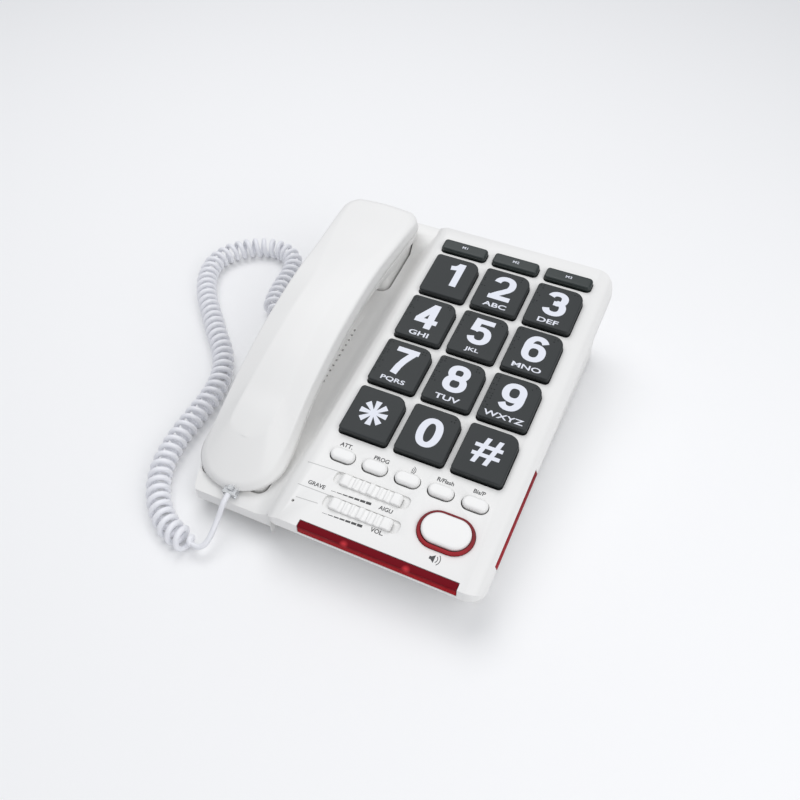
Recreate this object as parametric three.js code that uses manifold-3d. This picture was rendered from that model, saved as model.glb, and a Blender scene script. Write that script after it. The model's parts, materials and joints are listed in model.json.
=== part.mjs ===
// A corded desk telephone with large keys: a sloping base, a handset in a side cradle and a curly cord.
// Millimetres, +Z up. The origin is on the desk, under the middle of the base.
// Pieces on the sloping deck are drawn in its own frame: x across, s up the slope from the front
// edge, w out of the deck. A piece's own text, colour print and fine surface are not modelled here.

import * as THREE from "three";
import { mergeVertices } from "three/addons/utils/BufferGeometryUtils.js";
import Module from "manifold-3d";

const wasm = await Module();
wasm.setup();

// ---------------------------------------------------------------- driving dimensions

// Base casing
const BASE_WIDTH = 177.5;
const BASE_DEPTH = 221.5;
const FRONT_HEIGHT = 28.5; // keypad deck above the desk, at its front edge
const DECK_TILT = THREE.MathUtils.degToRad(9);
const WALL = 2.4;
const PARTING_HEIGHT = 21.5; // joint between the two casings, above the desk
const LEFT_PARTING = 10; // where that joint steps down round the mouth pocket
const PARTING_STEP_X = -30;
const PARTING_STEP_Y = -42;
const WALL_DRAFT = 0.16; // how far the casing walls lean in, per millimetre down
const SIDE_FILLET = 7.5;
const BACK_RIGHT_RADIUS = 13;
const BACK_LEFT_RADIUS = 14;
const FRONT_RIGHT_RADIUS = 9;
const FRONT_LEFT_RADIUS = 1.5;
const GAP = 0.3; // between fixed pieces that touch
const RUN = 0.5; // round a piece that moves in its opening

// Handset side of the deck
const LEFT_DECK_DROP = 12; // below the keypad deck
const LEFT_DECK_SETBACK = 4.2; // its front edge lies behind the lip
const LEFT_FLARE = 8; // how much the left side narrows towards the front
const RIM_DROP = 2.5; // rim behind the ear pocket, below the keypad deck
const RIM_FRONT = 215;
const RIM_RISE = 11; // length of the slope up to the rim
const SLOPE_TOP_X = -24; // where the keypad deck starts to fall to the left
const SLOPE_RUN = 17;

// Keys
const KEYPAD_X = 28.5; // middle column
const KEYPAD_FRONT = 58.9; // front edge of the first row
const KEY_WIDTH = 28.6;
const KEY_DEPTH = 31.2;
const KEY_PITCH_X = 33;
const KEY_PITCH_S = 35.95;
const KEY_RADIUS = 2.2;
const KEY_CORNER_RADIUS = 6.5; // the one large corner
const KEY_PROUD = 4;
const KEY_CHAMFER = 0.9;
const KEY_TRAVEL = 2;
const FLANGE = 1.1; // thickness of the rim that holds a key under the deck
const FLANGE_RIM = 1;

const MEMORY_S = 207.9;
const MEMORY_PITCH = 33.6;
const MEMORY_WIDTH = 29;
const MEMORY_DEPTH = 8.6;
const MEMORY_PROUD = 3.4;

const FUNCTION_S = 46;
const FUNCTION_PITCH = 19;
const FUNCTION_WIDTH = 14;
const FUNCTION_DEPTH = 7.6;
const FUNCTION_PROUD = 2.2;

const SPEAKER_X = 59.2;
const SPEAKER_S = 25.8;
const RING_WIDTH = 30.4;
const RING_DEPTH = 21.2;
const RING_BAND = 1.7;
const RING_PROUD = 0.6;
const SPEAKER_PROUD = 2.6;

// Sliders
const SLIDER_X = 14;
const TONE_S = 33.4;
const VOLUME_S = 18.8;
const THUMB_LENGTH = 35.6;
const THUMB_WIDTH = 6.6;
const THUMB_PROUD = 2.6;
const SLIDER_TRAVEL = 3.5; // each way from the middle
const TRACK_DEPTH = 1.2;
const STEM_LENGTH = 14;
const STEM_WIDTH = 2.4;

// Lenses and lamps
const LENS_LEFT = -12.5;
const LENS_RIGHT = 75.5;
const LENS_ON_DECK = 3.8;
const LENS_DOWN = 5.2;
const LENS_THICK = 1.7;
const SIDE_LENS_FRONT = 20.5;
const SIDE_LENS_LENGTH = 59;
const SIDE_LENS_WIDTH = 4;
const SIDE_LENS_DROP = 4.4; // top edge of the side lens below the deck
const LAMP_RADIUS = 1.6;

// Inner pieces
const MAT_DROP = 8.4; // top of the rubber mat below the deck
const MAT_THICK = 1.2;
const DOME_HEIGHT = 1.6;
const BOARD_THICK = 1.6;
const FLOOR = 2.4; // lower casing floor thickness
const FOOT_HEIGHT = 2.6;
const FOOT_RADIUS = 6.5;

// Handset
const HANDSET_X = -63.2;
const NOSE_TIP = 8.2;
const NOSE_RADIUS = 24;
const EAR_END = 219.5;
const EAR_RADIUS = 13;
const SHELL = 2;
const CUP_WIDTH = 40;
const EAR_FRONT = 170;
const EAR_BACK = 213.5;
const EAR_FLOOR = -24.5;
const MOUTH_FRONT = 14;
const MOUTH_BACK = 48;
const MOUTH_FLOOR = -15.2;
const POCKET_CLEARANCE = 1.2;
const REST_GAP = 0.4; // handset above the pocket floors

// Cord
const CORD_DIAMETER = 3.2;
const COIL_DIAMETER = 14;
const PLUG_WIDTH = 7.6;
const PLUG_HEIGHT = 5.4;
const PLUG_LENGTH = 13;
const PLUG_OUT = 3; // how much of a plug stands out of its jack
const BASE_JACK_Y = 14;
const BASE_JACK_Z = 11.5;

// ---------------------------------------------------------------- helpers

const DECK_LENGTH = BASE_DEPTH / Math.cos(DECK_TILT);
const HALF_WIDTH = BASE_WIDTH / 2;
const HALF_DEPTH = BASE_DEPTH / 2;
const deckMatrix = new THREE.Matrix4()
  .makeRotationX(DECK_TILT)
  .setPosition(0, -HALF_DEPTH, FRONT_HEIGHT);
const toDeck = deckMatrix.clone().invert(); // carries a solid drawn level with the desk into the deck frame

const phone = new THREE.Group();
const deck = new THREE.Group();
deck.applyMatrix4(deckMatrix);
phone.add(deck);

// A closed geometry as a solid that can be joined and cut.
function solid(geometry, matrix) {
  const g = geometry.clone();
  g.deleteAttribute("normal");
  g.deleteAttribute("uv");
  if (matrix) g.applyMatrix4(matrix);
  const merged = mergeVertices(g, 1e-4);
  return new wasm.Manifold(
    new wasm.Mesh({
      numProp: 3,
      vertProperties: merged.attributes.position.array,
      triVerts: new Uint32Array(merged.index.array),
    }),
  );
}

// A solid as a geometry with flat facets.
function geometryOf(made) {
  const mesh = made.getMesh();
  const g = new THREE.BufferGeometry();
  g.setAttribute("position", new THREE.BufferAttribute(new Float32Array(mesh.vertProperties), 3));
  g.setIndex(new THREE.BufferAttribute(new Uint32Array(mesh.triVerts), 1));
  g.computeVertexNormals();
  return g;
}

function add(parent, name, made, material) {
  const mesh = new THREE.Mesh(geometryOf(made), material);
  mesh.name = name;
  parent.add(mesh);
}

function finish(color, roughness, metalness = 0) {
  return new THREE.MeshStandardMaterial({ color, roughness, metalness });
}

// A rectangle centred on cx, cy; radii run from the front left corner round through front right.
function roundedRect(width, height, radii, cx = 0, cy = 0) {
  const [fl, fr, br, bl] = Array.isArray(radii) ? radii : [radii, radii, radii, radii];
  const x0 = cx - width / 2;
  const x1 = cx + width / 2;
  const y0 = cy - height / 2;
  const y1 = cy + height / 2;
  const shape = new THREE.Shape();
  shape.moveTo(x0 + fl, y0);
  shape.lineTo(x1 - fr, y0);
  shape.absarc(x1 - fr, y0 + fr, fr, -Math.PI / 2, 0);
  shape.lineTo(x1, y1 - br);
  shape.absarc(x1 - br, y1 - br, br, 0, Math.PI / 2);
  shape.lineTo(x0 + bl, y1);
  shape.absarc(x0 + bl, y1 - bl, bl, Math.PI / 2, Math.PI);
  shape.lineTo(x0, y0 + fl);
  shape.absarc(x0 + fl, y0 + fl, fl, Math.PI, (3 * Math.PI) / 2);
  return shape;
}

// A shape drawn in x, y stood up from low to high along the third axis, with its top edge chamfered.
function prism(shape, low, high, curveSegments = 3, chamfer = 0) {
  const g = new THREE.ExtrudeGeometry(shape, {
    depth: 2,
    steps: chamfer ? 2 : 1,
    curveSegments,
    bevelEnabled: false,
  });
  g.computeBoundingBox();
  const size = g.boundingBox.getSize(new THREE.Vector3());
  const middle = g.boundingBox.getCenter(new THREE.Vector3());
  const levels = [low, high - chamfer, high];
  const at = g.attributes.position;
  for (let i = 0; i < at.count; i++) {
    const ring = Math.round(at.getZ(i));
    at.setZ(i, levels[ring]);
    if (ring < 2) continue;
    at.setX(i, middle.x + (at.getX(i) - middle.x) * (1 - (2 * chamfer) / size.x));
    at.setY(i, middle.y + (at.getY(i) - middle.y) * (1 - (2 * chamfer) / size.y));
  }
  return solid(g);
}

// A shape drawn in y, z carried along x.
function alongX(shape, x0, x1, curveSegments = 3) {
  const g = new THREE.ExtrudeGeometry(shape, { depth: x1 - x0, curveSegments, bevelEnabled: false });
  const turn = new THREE.Matrix4().makeBasis(
    new THREE.Vector3(0, 1, 0),
    new THREE.Vector3(0, 0, 1),
    new THREE.Vector3(1, 0, 0),
  );
  g.applyMatrix4(turn);
  g.translate(x0, 0, 0);
  return solid(g);
}

// A shape drawn in x, z carried along y.
function alongY(shape, y0, y1, curveSegments = 4) {
  const g = new THREE.ExtrudeGeometry(shape, { depth: y1 - y0, curveSegments, bevelEnabled: false });
  g.rotateX(Math.PI / 2);
  g.translate(0, y1, 0);
  return solid(g);
}

function box(x0, x1, y0, y1, z0, z1) {
  const g = new THREE.BoxGeometry(x1 - x0, y1 - y0, z1 - z0);
  g.translate((x0 + x1) / 2, (y0 + y1) / 2, (z0 + z1) / 2);
  return solid(g);
}

// An upright cylinder.
function peg(x, y, z0, z1, radius, sides = 16) {
  const g = new THREE.CylinderGeometry(radius, radius, z1 - z0, sides);
  g.rotateX(Math.PI / 2);
  g.translate(x, y, (z0 + z1) / 2);
  return solid(g);
}

function polygon(points) {
  return new THREE.Shape(points.map(([a, b]) => new THREE.Vector2(a, b)));
}

function level(made) {
  return made.transform(toDeck.elements);
}

// ---------------------------------------------------------------- materials

const casingWhite = () => finish(0xf0efec, 0.45);
const keyCharcoal = () => finish(0x3a3f42, 0.5);
const memoryBlack = () => finish(0x1f2a29, 0.45);
const buttonWhite = () => finish(0xe9e7e3, 0.4);
const lensRed = () => finish(0x8a0a12, 0.2);
const cordWhite = () => finish(0xeff0f4, 0.45);
const rubberGrey = () => finish(0x4a4a4c, 0.9);
const boardGreen = () => finish(0x1f5a34, 0.6);
const steel = () => finish(0x9aa0a6, 0.35, 0.9);
const clearPlug = () => finish(0xdfe6ea, 0.15);
const blackPlastic = () => finish(0x1a1a1c, 0.5);

// ---------------------------------------------------------------- base casing

// Cross-section of the deck in x, w, set in by inset on every outer side.
function casingSection(inset, depth) {
  const right = HALF_WIDTH - inset;
  const left = -HALF_WIDTH + inset;
  const fillet = SIDE_FILLET - inset / 2;
  const slopeEnd = SLOPE_TOP_X - SLOPE_RUN;
  const top = -inset;
  const low = -LEFT_DECK_DROP - inset;
  const lean = WALL_DRAFT * depth;
  const shape = new THREE.Shape();
  shape.moveTo(left + lean, -depth);
  shape.lineTo(right - lean, -depth);
  shape.lineTo(right, top - fillet);
  shape.quadraticCurveTo(right - fillet * 0.1, top, right - fillet * 1.3, top);
  shape.lineTo(SLOPE_TOP_X, top);
  shape.bezierCurveTo(SLOPE_TOP_X - 7, top, slopeEnd + 9, low, slopeEnd, low);
  shape.lineTo(left + 3, low);
  shape.quadraticCurveTo(left, low, left, low - 3);
  return shape;
}

// Plan outline in x, y with the left deck's front edge set back and its side flared.
function planOutline(inset) {
  const right = HALF_WIDTH - inset;
  const left = -HALF_WIDTH + inset;
  const front = -HALF_DEPTH + inset;
  const back = HALF_DEPTH - inset;
  const stepFront = front + LEFT_DECK_SETBACK;
  const stepX = SLOPE_TOP_X - SLOPE_RUN / 2 + inset;
  const rightRound = FRONT_RIGHT_RADIUS - inset / 2;
  const backRight = BACK_RIGHT_RADIUS - inset;
  const backLeft = BACK_LEFT_RADIUS - inset;
  const shape = new THREE.Shape();
  shape.moveTo(stepX + 7, front);
  shape.lineTo(right - rightRound, front);
  shape.quadraticCurveTo(right - 1, front + 1, right, front + rightRound);
  shape.lineTo(right, back - backRight);
  shape.absarc(right - backRight, back - backRight, backRight, 0, Math.PI / 2);
  shape.lineTo(left + backLeft, back);
  shape.absarc(left + backLeft, back - backLeft, backLeft, Math.PI / 2, Math.PI);
  shape.lineTo(left, front + 60);
  shape.quadraticCurveTo(left, front + 24, left + LEFT_FLARE, stepFront + FRONT_LEFT_RADIUS);
  shape.lineTo(left + LEFT_FLARE + FRONT_LEFT_RADIUS, stepFront);
  shape.lineTo(stepX, stepFront);
  shape.quadraticCurveTo(stepX + 1.5, front, stepX + 7, front);
  return shape;
}

// The ridge behind the ear pocket, which rises out of the left deck.
function backRim(inset) {
  const top = -RIM_DROP - inset;
  const side = new THREE.Shape();
  side.moveTo(RIM_FRONT - RIM_RISE + inset, -60);
  side.lineTo(DECK_LENGTH + 30, -60);
  side.lineTo(DECK_LENGTH + 30, top);
  side.lineTo(RIM_FRONT + 3 + inset, top);
  const foot = -LEFT_DECK_DROP - inset - 0.5;
  side.quadraticCurveTo(RIM_FRONT - 3 + inset, top, RIM_FRONT - RIM_RISE + inset, foot);
  return alongX(side, -HALF_WIDTH + inset + 1, SLOPE_TOP_X - 2);
}

// The casing's outer or inner form above the desk.
function casingForm(inset) {
  const section = alongY(casingSection(inset, 90), -40, DECK_LENGTH + 40).add(backRim(inset));
  return section.intersect(level(prism(planOutline(inset), 0, 130, 6)));
}

// Everything on the upper casing's side of the joint, which steps down on the left at the front.
function aboveParting(drop) {
  const most = box(-200, 200, -200, 200, PARTING_HEIGHT - drop, 200);
  const step = box(-200, PARTING_STEP_X + drop, -200, PARTING_STEP_Y + drop, LEFT_PARTING - drop, 200);
  return most.add(step);
}

const EAR_MIDDLE = (EAR_FRONT + EAR_BACK) / 2;
const MOUTH_MIDDLE = (MOUTH_FRONT + MOUTH_BACK) / 2;

// A cradle pocket for one of the handset's cups, grown by extra on its sides and floor.
function pocket(front, back, floor, extra) {
  const width = CUP_WIDTH + 2 * (POCKET_CLEARANCE + extra);
  const depth = back - front + 2 * (POCKET_CLEARANCE + extra);
  const outline = roundedRect(width, depth, 6 + extra, HANDSET_X, (front + back) / 2);
  return prism(outline, floor - REST_GAP - extra, 40);
}

function bothPockets(extra) {
  const ear = pocket(EAR_FRONT, EAR_BACK, EAR_FLOOR, extra);
  return ear.add(pocket(MOUTH_FRONT, MOUTH_BACK, MOUTH_FLOOR, extra));
}

// ---------------------------------------------------------------- keys and their openings

function keyShape(grow, x, s) {
  const radius = KEY_RADIUS + grow;
  const corner = KEY_CORNER_RADIUS + grow;
  const radii = [radius, radius, corner, radius];
  return roundedRect(KEY_WIDTH + 2 * grow, KEY_DEPTH + 2 * grow, radii, x, s);
}

function memoryShape(grow, x, s) {
  return roundedRect(MEMORY_WIDTH + 2 * grow, MEMORY_DEPTH + 2 * grow, 2.6 + grow, x, s);
}

function stadium(width, depth, grow, x, s) {
  const radius = depth / 2 + grow - 0.01;
  return roundedRect(width + 2 * grow, depth + 2 * grow, radius, x, s);
}

function functionShape(grow, x, s) {
  return stadium(FUNCTION_WIDTH, FUNCTION_DEPTH, grow, x, s);
}

function speakerShape(grow, x, s) {
  const width = RING_WIDTH - 2 * RING_BAND - 2 * RUN;
  return stadium(width, RING_DEPTH - 2 * RING_BAND - 2 * RUN, grow, x, s);
}

// Every push key: its name, place, outline, height and colour.
const keys = [];
const DIGITS = ["star", "0", "hash", "7", "8", "9", "4", "5", "6", "1", "2", "3"];
DIGITS.forEach((digit, i) => {
  keys.push({
    name: "key_" + digit,
    x: KEYPAD_X + ((i % 3) - 1) * KEY_PITCH_X,
    s: KEYPAD_FRONT + KEY_DEPTH / 2 + Math.floor(i / 3) * KEY_PITCH_S,
    shape: keyShape,
    proud: KEY_PROUD,
    chamfer: KEY_CHAMFER,
    material: keyCharcoal,
  });
});
for (let i = 0; i < 3; i++) {
  keys.push({
    name: "memory_key_" + (i + 1),
    x: KEYPAD_X + (i - 1) * MEMORY_PITCH,
    s: MEMORY_S,
    shape: memoryShape,
    proud: MEMORY_PROUD,
    chamfer: 0.8,
    material: memoryBlack,
  });
}
["mute", "program", "ringer", "recall", "redial"].forEach((job, i) => {
  keys.push({
    name: job + "_button",
    x: KEYPAD_X + 0.25 + (i - 2) * FUNCTION_PITCH,
    s: FUNCTION_S,
    shape: functionShape,
    proud: FUNCTION_PROUD,
    chamfer: 0.7,
    material: buttonWhite,
  });
});
keys.push({
  name: "speaker_button",
  x: SPEAKER_X,
  s: SPEAKER_S,
  shape: speakerShape,
  proud: SPEAKER_PROUD,
  chamfer: 0.9,
  material: buttonWhite,
});

const FLANGE_TOP = -WALL - GAP;
const FLANGE_BOTTOM = FLANGE_TOP - FLANGE;

// A cap that stands out of the deck on a rim that cannot pass through it.
function keyCap(key) {
  const cap = prism(key.shape(0, key.x, key.s), FLANGE_TOP - 0.5, key.proud, 3, key.chamfer);
  return cap.add(prism(key.shape(FLANGE_RIM + RUN, key.x, key.s), FLANGE_BOTTOM, FLANGE_TOP, 2));
}

// ---------------------------------------------------------------- upper casing

const SLIDERS = [
  { name: "tone", x: SLIDER_X, s: TONE_S },
  { name: "volume", x: SLIDER_X + 1, s: VOLUME_S },
];

function track(slider, grow) {
  const length = THUMB_LENGTH + 2 * (SLIDER_TRAVEL + RUN) + 2 * grow;
  return roundedRect(length, THUMB_WIDTH + 2 * RUN + 2 * grow, 2.6, slider.x, slider.s);
}

// The front lens bends over the lip: a band on the deck and a band down the front face.
function frontLensForm(grow) {
  const y0 = -HALF_DEPTH - 1;
  const inner = HALF_DEPTH - LENS_THICK - grow;
  const profile = polygon([
    [y0, FRONT_HEIGHT - LENS_DOWN - grow],
    [-inner, FRONT_HEIGHT - LENS_DOWN - grow],
    [-inner, FRONT_HEIGHT - LENS_THICK - grow],
    [-HALF_DEPTH + LENS_ON_DECK + grow, FRONT_HEIGHT - LENS_THICK - grow + 1],
    [-HALF_DEPTH + LENS_ON_DECK + grow, FRONT_HEIGHT + 8],
    [y0, FRONT_HEIGHT + 8],
  ]);
  return level(alongX(profile, LENS_LEFT - grow, LENS_RIGHT + grow));
}

// The side lens lies in the leaning right wall, parallel with the deck.
function sideLensForm(grow, thick) {
  const bar = box(
    -thick - grow,
    2,
    SIDE_LENS_FRONT - grow,
    SIDE_LENS_FRONT + SIDE_LENS_LENGTH + grow,
    -SIDE_LENS_WIDTH - grow,
    grow,
  );
  const lean = new THREE.Matrix4().makeRotationY(Math.atan(WALL_DRAFT));
  lean.setPosition(HALF_WIDTH - 0.4, 0, -SIDE_LENS_DROP);
  return bar.transform(lean.elements);
}

const HOOK_X = HANDSET_X + 6;
const HOOK_S = EAR_FRONT + 8;
const HOOK_RADIUS = 3;
const HOLE_PITCH = 4.1;
const SPEAKER_HOLES = 11;
const LOUDSPEAKER_X = HANDSET_X + 15.6;
const LOUDSPEAKER_S = 114;
const LOUDSPEAKER_RADIUS = 20;
const MIC_X = -21.5;
const MIC_S = 12.3;
const JACK_WIDTH = 12;
const JACK_HEIGHT = 10;
const LINE_JACK_X = 20;
const LINE_JACK_Z = 27;

function upperCasing() {
  let shell = casingForm(0).subtract(bothPockets(0));
  shell = shell.subtract(casingForm(WALL).subtract(bothPockets(WALL)));
  shell = shell.intersect(level(aboveParting(0)));
  for (const key of keys) {
    if (key.name === "speaker_button") continue;
    shell = shell.subtract(prism(key.shape(RUN, key.x, key.s), -10, 10, 3));
  }
  const ringSeat = stadium(RING_WIDTH, RING_DEPTH, GAP, SPEAKER_X, SPEAKER_S);
  shell = shell.subtract(prism(ringSeat, -10, 10, 4));
  for (const slider of SLIDERS) {
    shell = shell.subtract(prism(track(slider, 0), -TRACK_DEPTH, 5));
    const slot = STEM_LENGTH / 2 + SLIDER_TRAVEL + RUN;
    const half = STEM_WIDTH / 2 + RUN;
    const { x, s } = slider;
    shell = shell.subtract(box(x - slot, x + slot, s - half, s + half, -6, 1));
  }
  shell = shell.subtract(frontLensForm(GAP));
  shell = shell.subtract(sideLensForm(GAP, LENS_THICK));
  for (const x of [LAMP_LEFT, LAMP_RIGHT]) {
    shell = shell.subtract(peg(x, LAMP_S, -8, -LAMP_ROOF, LAMP_RADIUS + RUN, 10));
  }
  shell = shell.subtract(peg(HOOK_X, HOOK_S, EAR_FLOOR - 8, EAR_FLOOR + 5, HOOK_RADIUS + RUN, 12));
  shell = shell.subtract(peg(MIC_X, MIC_S, -8, 2, 0.9, 6));
  for (let i = 0; i < SPEAKER_HOLES; i++) {
    const s = LOUDSPEAKER_S + (i - (SPEAKER_HOLES - 1) / 2) * HOLE_PITCH;
    shell = shell.subtract(peg(LOUDSPEAKER_X, s, -LEFT_DECK_DROP - 8, 5, 0.8, 6));
  }
  const jackHalf = JACK_WIDTH / 2 + GAP;
  const lineTop = LINE_JACK_Z + JACK_HEIGHT / 2 + GAP;
  const lineLow = LINE_JACK_Z - JACK_HEIGHT / 2 - GAP;
  const lineHole = box(
    LINE_JACK_X - jackHalf,
    LINE_JACK_X + jackHalf,
    HALF_DEPTH - 30,
    HALF_DEPTH + 5,
    lineLow,
    lineTop,
  );
  return shell.subtract(level(lineHole));
}

// ---------------------------------------------------------------- lower casing

const TRAY_INSET = 4.5; // lower casing inside the upper casing's plan
const UNDERCUT = 18; // how far the front wall slopes back on its way down
const LOW_Z = FOOT_HEIGHT;

// The tray's outline in the side view, with the front sloping back to the floor.
function traySide(inset, top) {
  const front = -HALF_DEPTH + 2 + inset;
  const back = HALF_DEPTH - 3 - inset;
  return polygon([
    [front + UNDERCUT, LOW_Z + inset],
    [back - 2, LOW_Z + inset],
    [back, top],
    [front, top],
  ]);
}

function trayForm(inset, top) {
  const plan = prism(planOutline(TRAY_INSET + inset), LOW_Z + inset, top, 5);
  const reach = HALF_WIDTH;
  const side = alongX(traySide(inset, top), -reach, reach);
  return plan.intersect(side);
}

const FEET = [
  ["foot_front_left", -62, -78],
  ["foot_front_right", 66, -78],
  ["foot_back_left", -66, 90],
  ["foot_back_right", 62, 90],
];
const SCREWS = [
  ["casing_screw_front_left", -20, -80],
  ["casing_screw_front_right", 46, -80],
  ["casing_screw_back_left", -44, 92],
  ["casing_screw_back_right", 40, 92],
];
const SCREW_HEAD = 3;
const SCREW_SHANK = 1.4;
const BOSS_RADIUS = 4;
const BOSS_TOP = 12;

function lowerCasing() {
  const top = PARTING_HEIGHT + 5;
  let tray = trayForm(0, top).subtract(aboveParting(GAP));
  let hollow = trayForm(FLOOR, top);
  for (const [, x, y] of SCREWS) hollow = hollow.subtract(peg(x, y, 0, BOSS_TOP, BOSS_RADIUS, 12));
  tray = tray.subtract(hollow);
  for (const [, x, y] of FEET) {
    tray = tray.subtract(peg(x, y, 0, LOW_Z + 1, FOOT_RADIUS + GAP));
  }
  for (const [, x, y] of SCREWS) {
    tray = tray.subtract(peg(x, y, 0, LOW_Z + 4.5, SCREW_HEAD + RUN, 12));
    tray = tray.subtract(peg(x, y, 0, 30, SCREW_SHANK + GAP, 8));
  }
  const jack = box(
    -HALF_WIDTH,
    -HALF_WIDTH + 30,
    BASE_JACK_Y - JACK_WIDTH / 2 - GAP,
    BASE_JACK_Y + JACK_WIDTH / 2 + GAP,
    BASE_JACK_Z - JACK_HEIGHT / 2 - GAP,
    BASE_JACK_Z + JACK_HEIGHT / 2 + GAP,
  );
  return tray.subtract(jack);
}

function screw([, x, y]) {
  const head = peg(x, y, LOW_Z + 2, LOW_Z + 4, SCREW_HEAD, 12);
  return head.add(peg(x, y, LOW_Z + 3, BOSS_TOP + 6, SCREW_SHANK, 8));
}

// ---------------------------------------------------------------- pieces on the deck

function ring() {
  const outer = stadium(RING_WIDTH, RING_DEPTH, 0, SPEAKER_X, SPEAKER_S);
  const inner = stadium(RING_WIDTH, RING_DEPTH, -RING_BAND, SPEAKER_X, SPEAKER_S);
  return prism(outer, -WALL, RING_PROUD, 4).subtract(prism(inner, -10, 10, 4));
}

// A ribbed bar with a dip in the middle, on a stem that passes through its slot.
function sliderThumb({ x, s }) {
  const outline = roundedRect(THUMB_LENGTH, THUMB_WIDTH, 2.2, x, s);
  let thumb = prism(outline, -TRACK_DEPTH + GAP, THUMB_PROUD, 3, 0.6);
  const half = THUMB_LENGTH / 2;
  for (const place of [-0.52, -0.3, 0.3, 0.52]) {
    const groove = x + place * half;
    thumb = thumb.subtract(box(groove - 0.6, groove + 0.6, s - 5, s + 5, THUMB_PROUD - 0.7, 5));
  }
  const dip = new THREE.CylinderGeometry(9, 9, 12, 24).translate(x, s, THUMB_PROUD + 8);
  thumb = thumb.subtract(solid(dip));
  const stem = box(
    x - STEM_LENGTH / 2,
    x + STEM_LENGTH / 2,
    s - STEM_WIDTH / 2,
    s + STEM_WIDTH / 2,
    -MAT_DROP + 1,
    0,
  );
  return thumb.add(stem);
}

const BOARD_TOP = -MAT_DROP - MAT_THICK - GAP;

function potentiometer({ x, s }) {
  const length = STEM_LENGTH + 2 * SLIDER_TRAVEL + 5;
  const body = box(x - length / 2, x + length / 2, s - 3.4, s + 3.4, BOARD_TOP + GAP, -MAT_DROP + 0.7);
  return body;
}

// The keypad mat: a sheet with a low dome under each key.
function rubberMat() {
  const backEdge = MEMORY_S + 7;
  const frontEdge = FUNCTION_S - 6;
  const width = 2 * KEY_PITCH_X + KEY_WIDTH + 4;
  const sheet = roundedRect(width, backEdge - frontEdge, 2, KEYPAD_X, (backEdge + frontEdge) / 2);
  let mat = prism(sheet, -MAT_DROP - MAT_THICK, -MAT_DROP, 2);
  for (const key of keys) {
    if (key.name === "speaker_button") continue;
    mat = mat.add(peg(key.x, key.s, -MAT_DROP - 0.5, -MAT_DROP + DOME_HEIGHT, 2.8, 8));
  }
  return mat;
}

function circuitBoard() {
  const width = 2 * KEY_PITCH_X + KEY_WIDTH + 6;
  const outline = roundedRect(width, DECK_LENGTH - 26, 2, KEYPAD_X - 1, DECK_LENGTH / 2 + 3);
  return prism(outline, BOARD_TOP - BOARD_THICK, BOARD_TOP, 1);
}

// ---------------------------------------------------------------- lamps, hook switch, loudspeaker

const LAMP_LEFT = 14.2;
const LAMP_RIGHT = 48.5;
const LAMP_S = 4.6;
const LAMP_ROOF = 1.8; // deck left over each lamp's pocket

function lamp(x) {
  return peg(x, LAMP_S, -6.5, -WALL - 0.4, LAMP_RADIUS, 10);
}

const HOOK_TRAVEL = 4;
const HOOK_FLANGE_Z = EAR_FLOOR - REST_GAP - WALL - GAP - HOOK_TRAVEL - 1;

// A pin that stands in the ear pocket under the handset, held by its rim under the pocket floor.
function hookPlunger() {
  const pin = peg(HOOK_X, HOOK_S, HOOK_FLANGE_Z - 1, EAR_FLOOR - 0.35, HOOK_RADIUS, 12);
  return pin.add(peg(HOOK_X, HOOK_S, HOOK_FLANGE_Z - 1, HOOK_FLANGE_Z, HOOK_RADIUS + 1.5, 12));
}

function hookSwitch() {
  const top = HOOK_FLANGE_Z - 1.6;
  return box(HOOK_X - 6, HOOK_X + 6, HOOK_S - 4, HOOK_S + 4, top - 8, top);
}

function loudspeaker() {
  const top = -LEFT_DECK_DROP - WALL - 0.6;
  const profile = [
    new THREE.Vector2(0, -12),
    new THREE.Vector2(9, -12),
    new THREE.Vector2(9, -6),
    new THREE.Vector2(LOUDSPEAKER_RADIUS - 1, -2),
    new THREE.Vector2(LOUDSPEAKER_RADIUS, -2),
    new THREE.Vector2(LOUDSPEAKER_RADIUS, 0),
    new THREE.Vector2(0, 0),
  ];
  const g = new THREE.LatheGeometry(profile, 20);
  g.rotateX(Math.PI / 2);
  g.translate(HANDSET_X + 14, LOUDSPEAKER_S, top);
  return solid(g);
}

// ---------------------------------------------------------------- handset

// A quantity that varies along the handset, through points of s and value.
function along(points) {
  return (s) => {
    let i = 1;
    while (i < points.length - 1 && s > points[i][0]) i++;
    const [s0, v0] = points[i - 1];
    const [s1, v1] = points[i];
    return THREE.MathUtils.lerp(v0, v1, THREE.MathUtils.clamp((s - s0) / (s1 - s0), 0, 1));
  };
}

// Heights above the deck of the flat along the back, the back's edge, the parting and the underside.
const flatHeight = along([
  [8, -5], [13, -1.5], [28, 3.5], [50, 9.7], [85, 17.5], [115, 22], [145, 22], [190, 17], [220, 13.5],
]);
const edgeHeight = along([
  [8, -6], [28, -3.5], [40, 0.3], [60, 7.8], [85, 14.3], [115, 18.8], [145, 20.2], [190, 16], [220, 12],
]);
const partingHeight = along([[8, -9], [28, -8.6], [52, -4], [85, 6], [115, 11], [145, 12], [190, 8], [220, 6]]);
const underHeight = along([[8, -11.6], [53, -11.6], [71, -4], [97, 2], [127, 3], [165, -1], [220, -1.8]]);
const widest = along([[8, 26], [38, 26], [62, 23.6], [165, 23.6], [205, 25.8], [220, 26]]);
const edgeTuck = along([[8, 6], [30, 5.6], [60, 0.8], [220, 0.4]]);
const flatWidth = along([[8, 5], [38, 9], [52, 11.6], [115, 9.7], [145, 10.2], [190, 20], [220, 23]]);
const underTuck = along([[8, 3.4], [50, 3.6], [80, 5], [150, 5], [180, 2.4], [220, 2.4]]);

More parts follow.
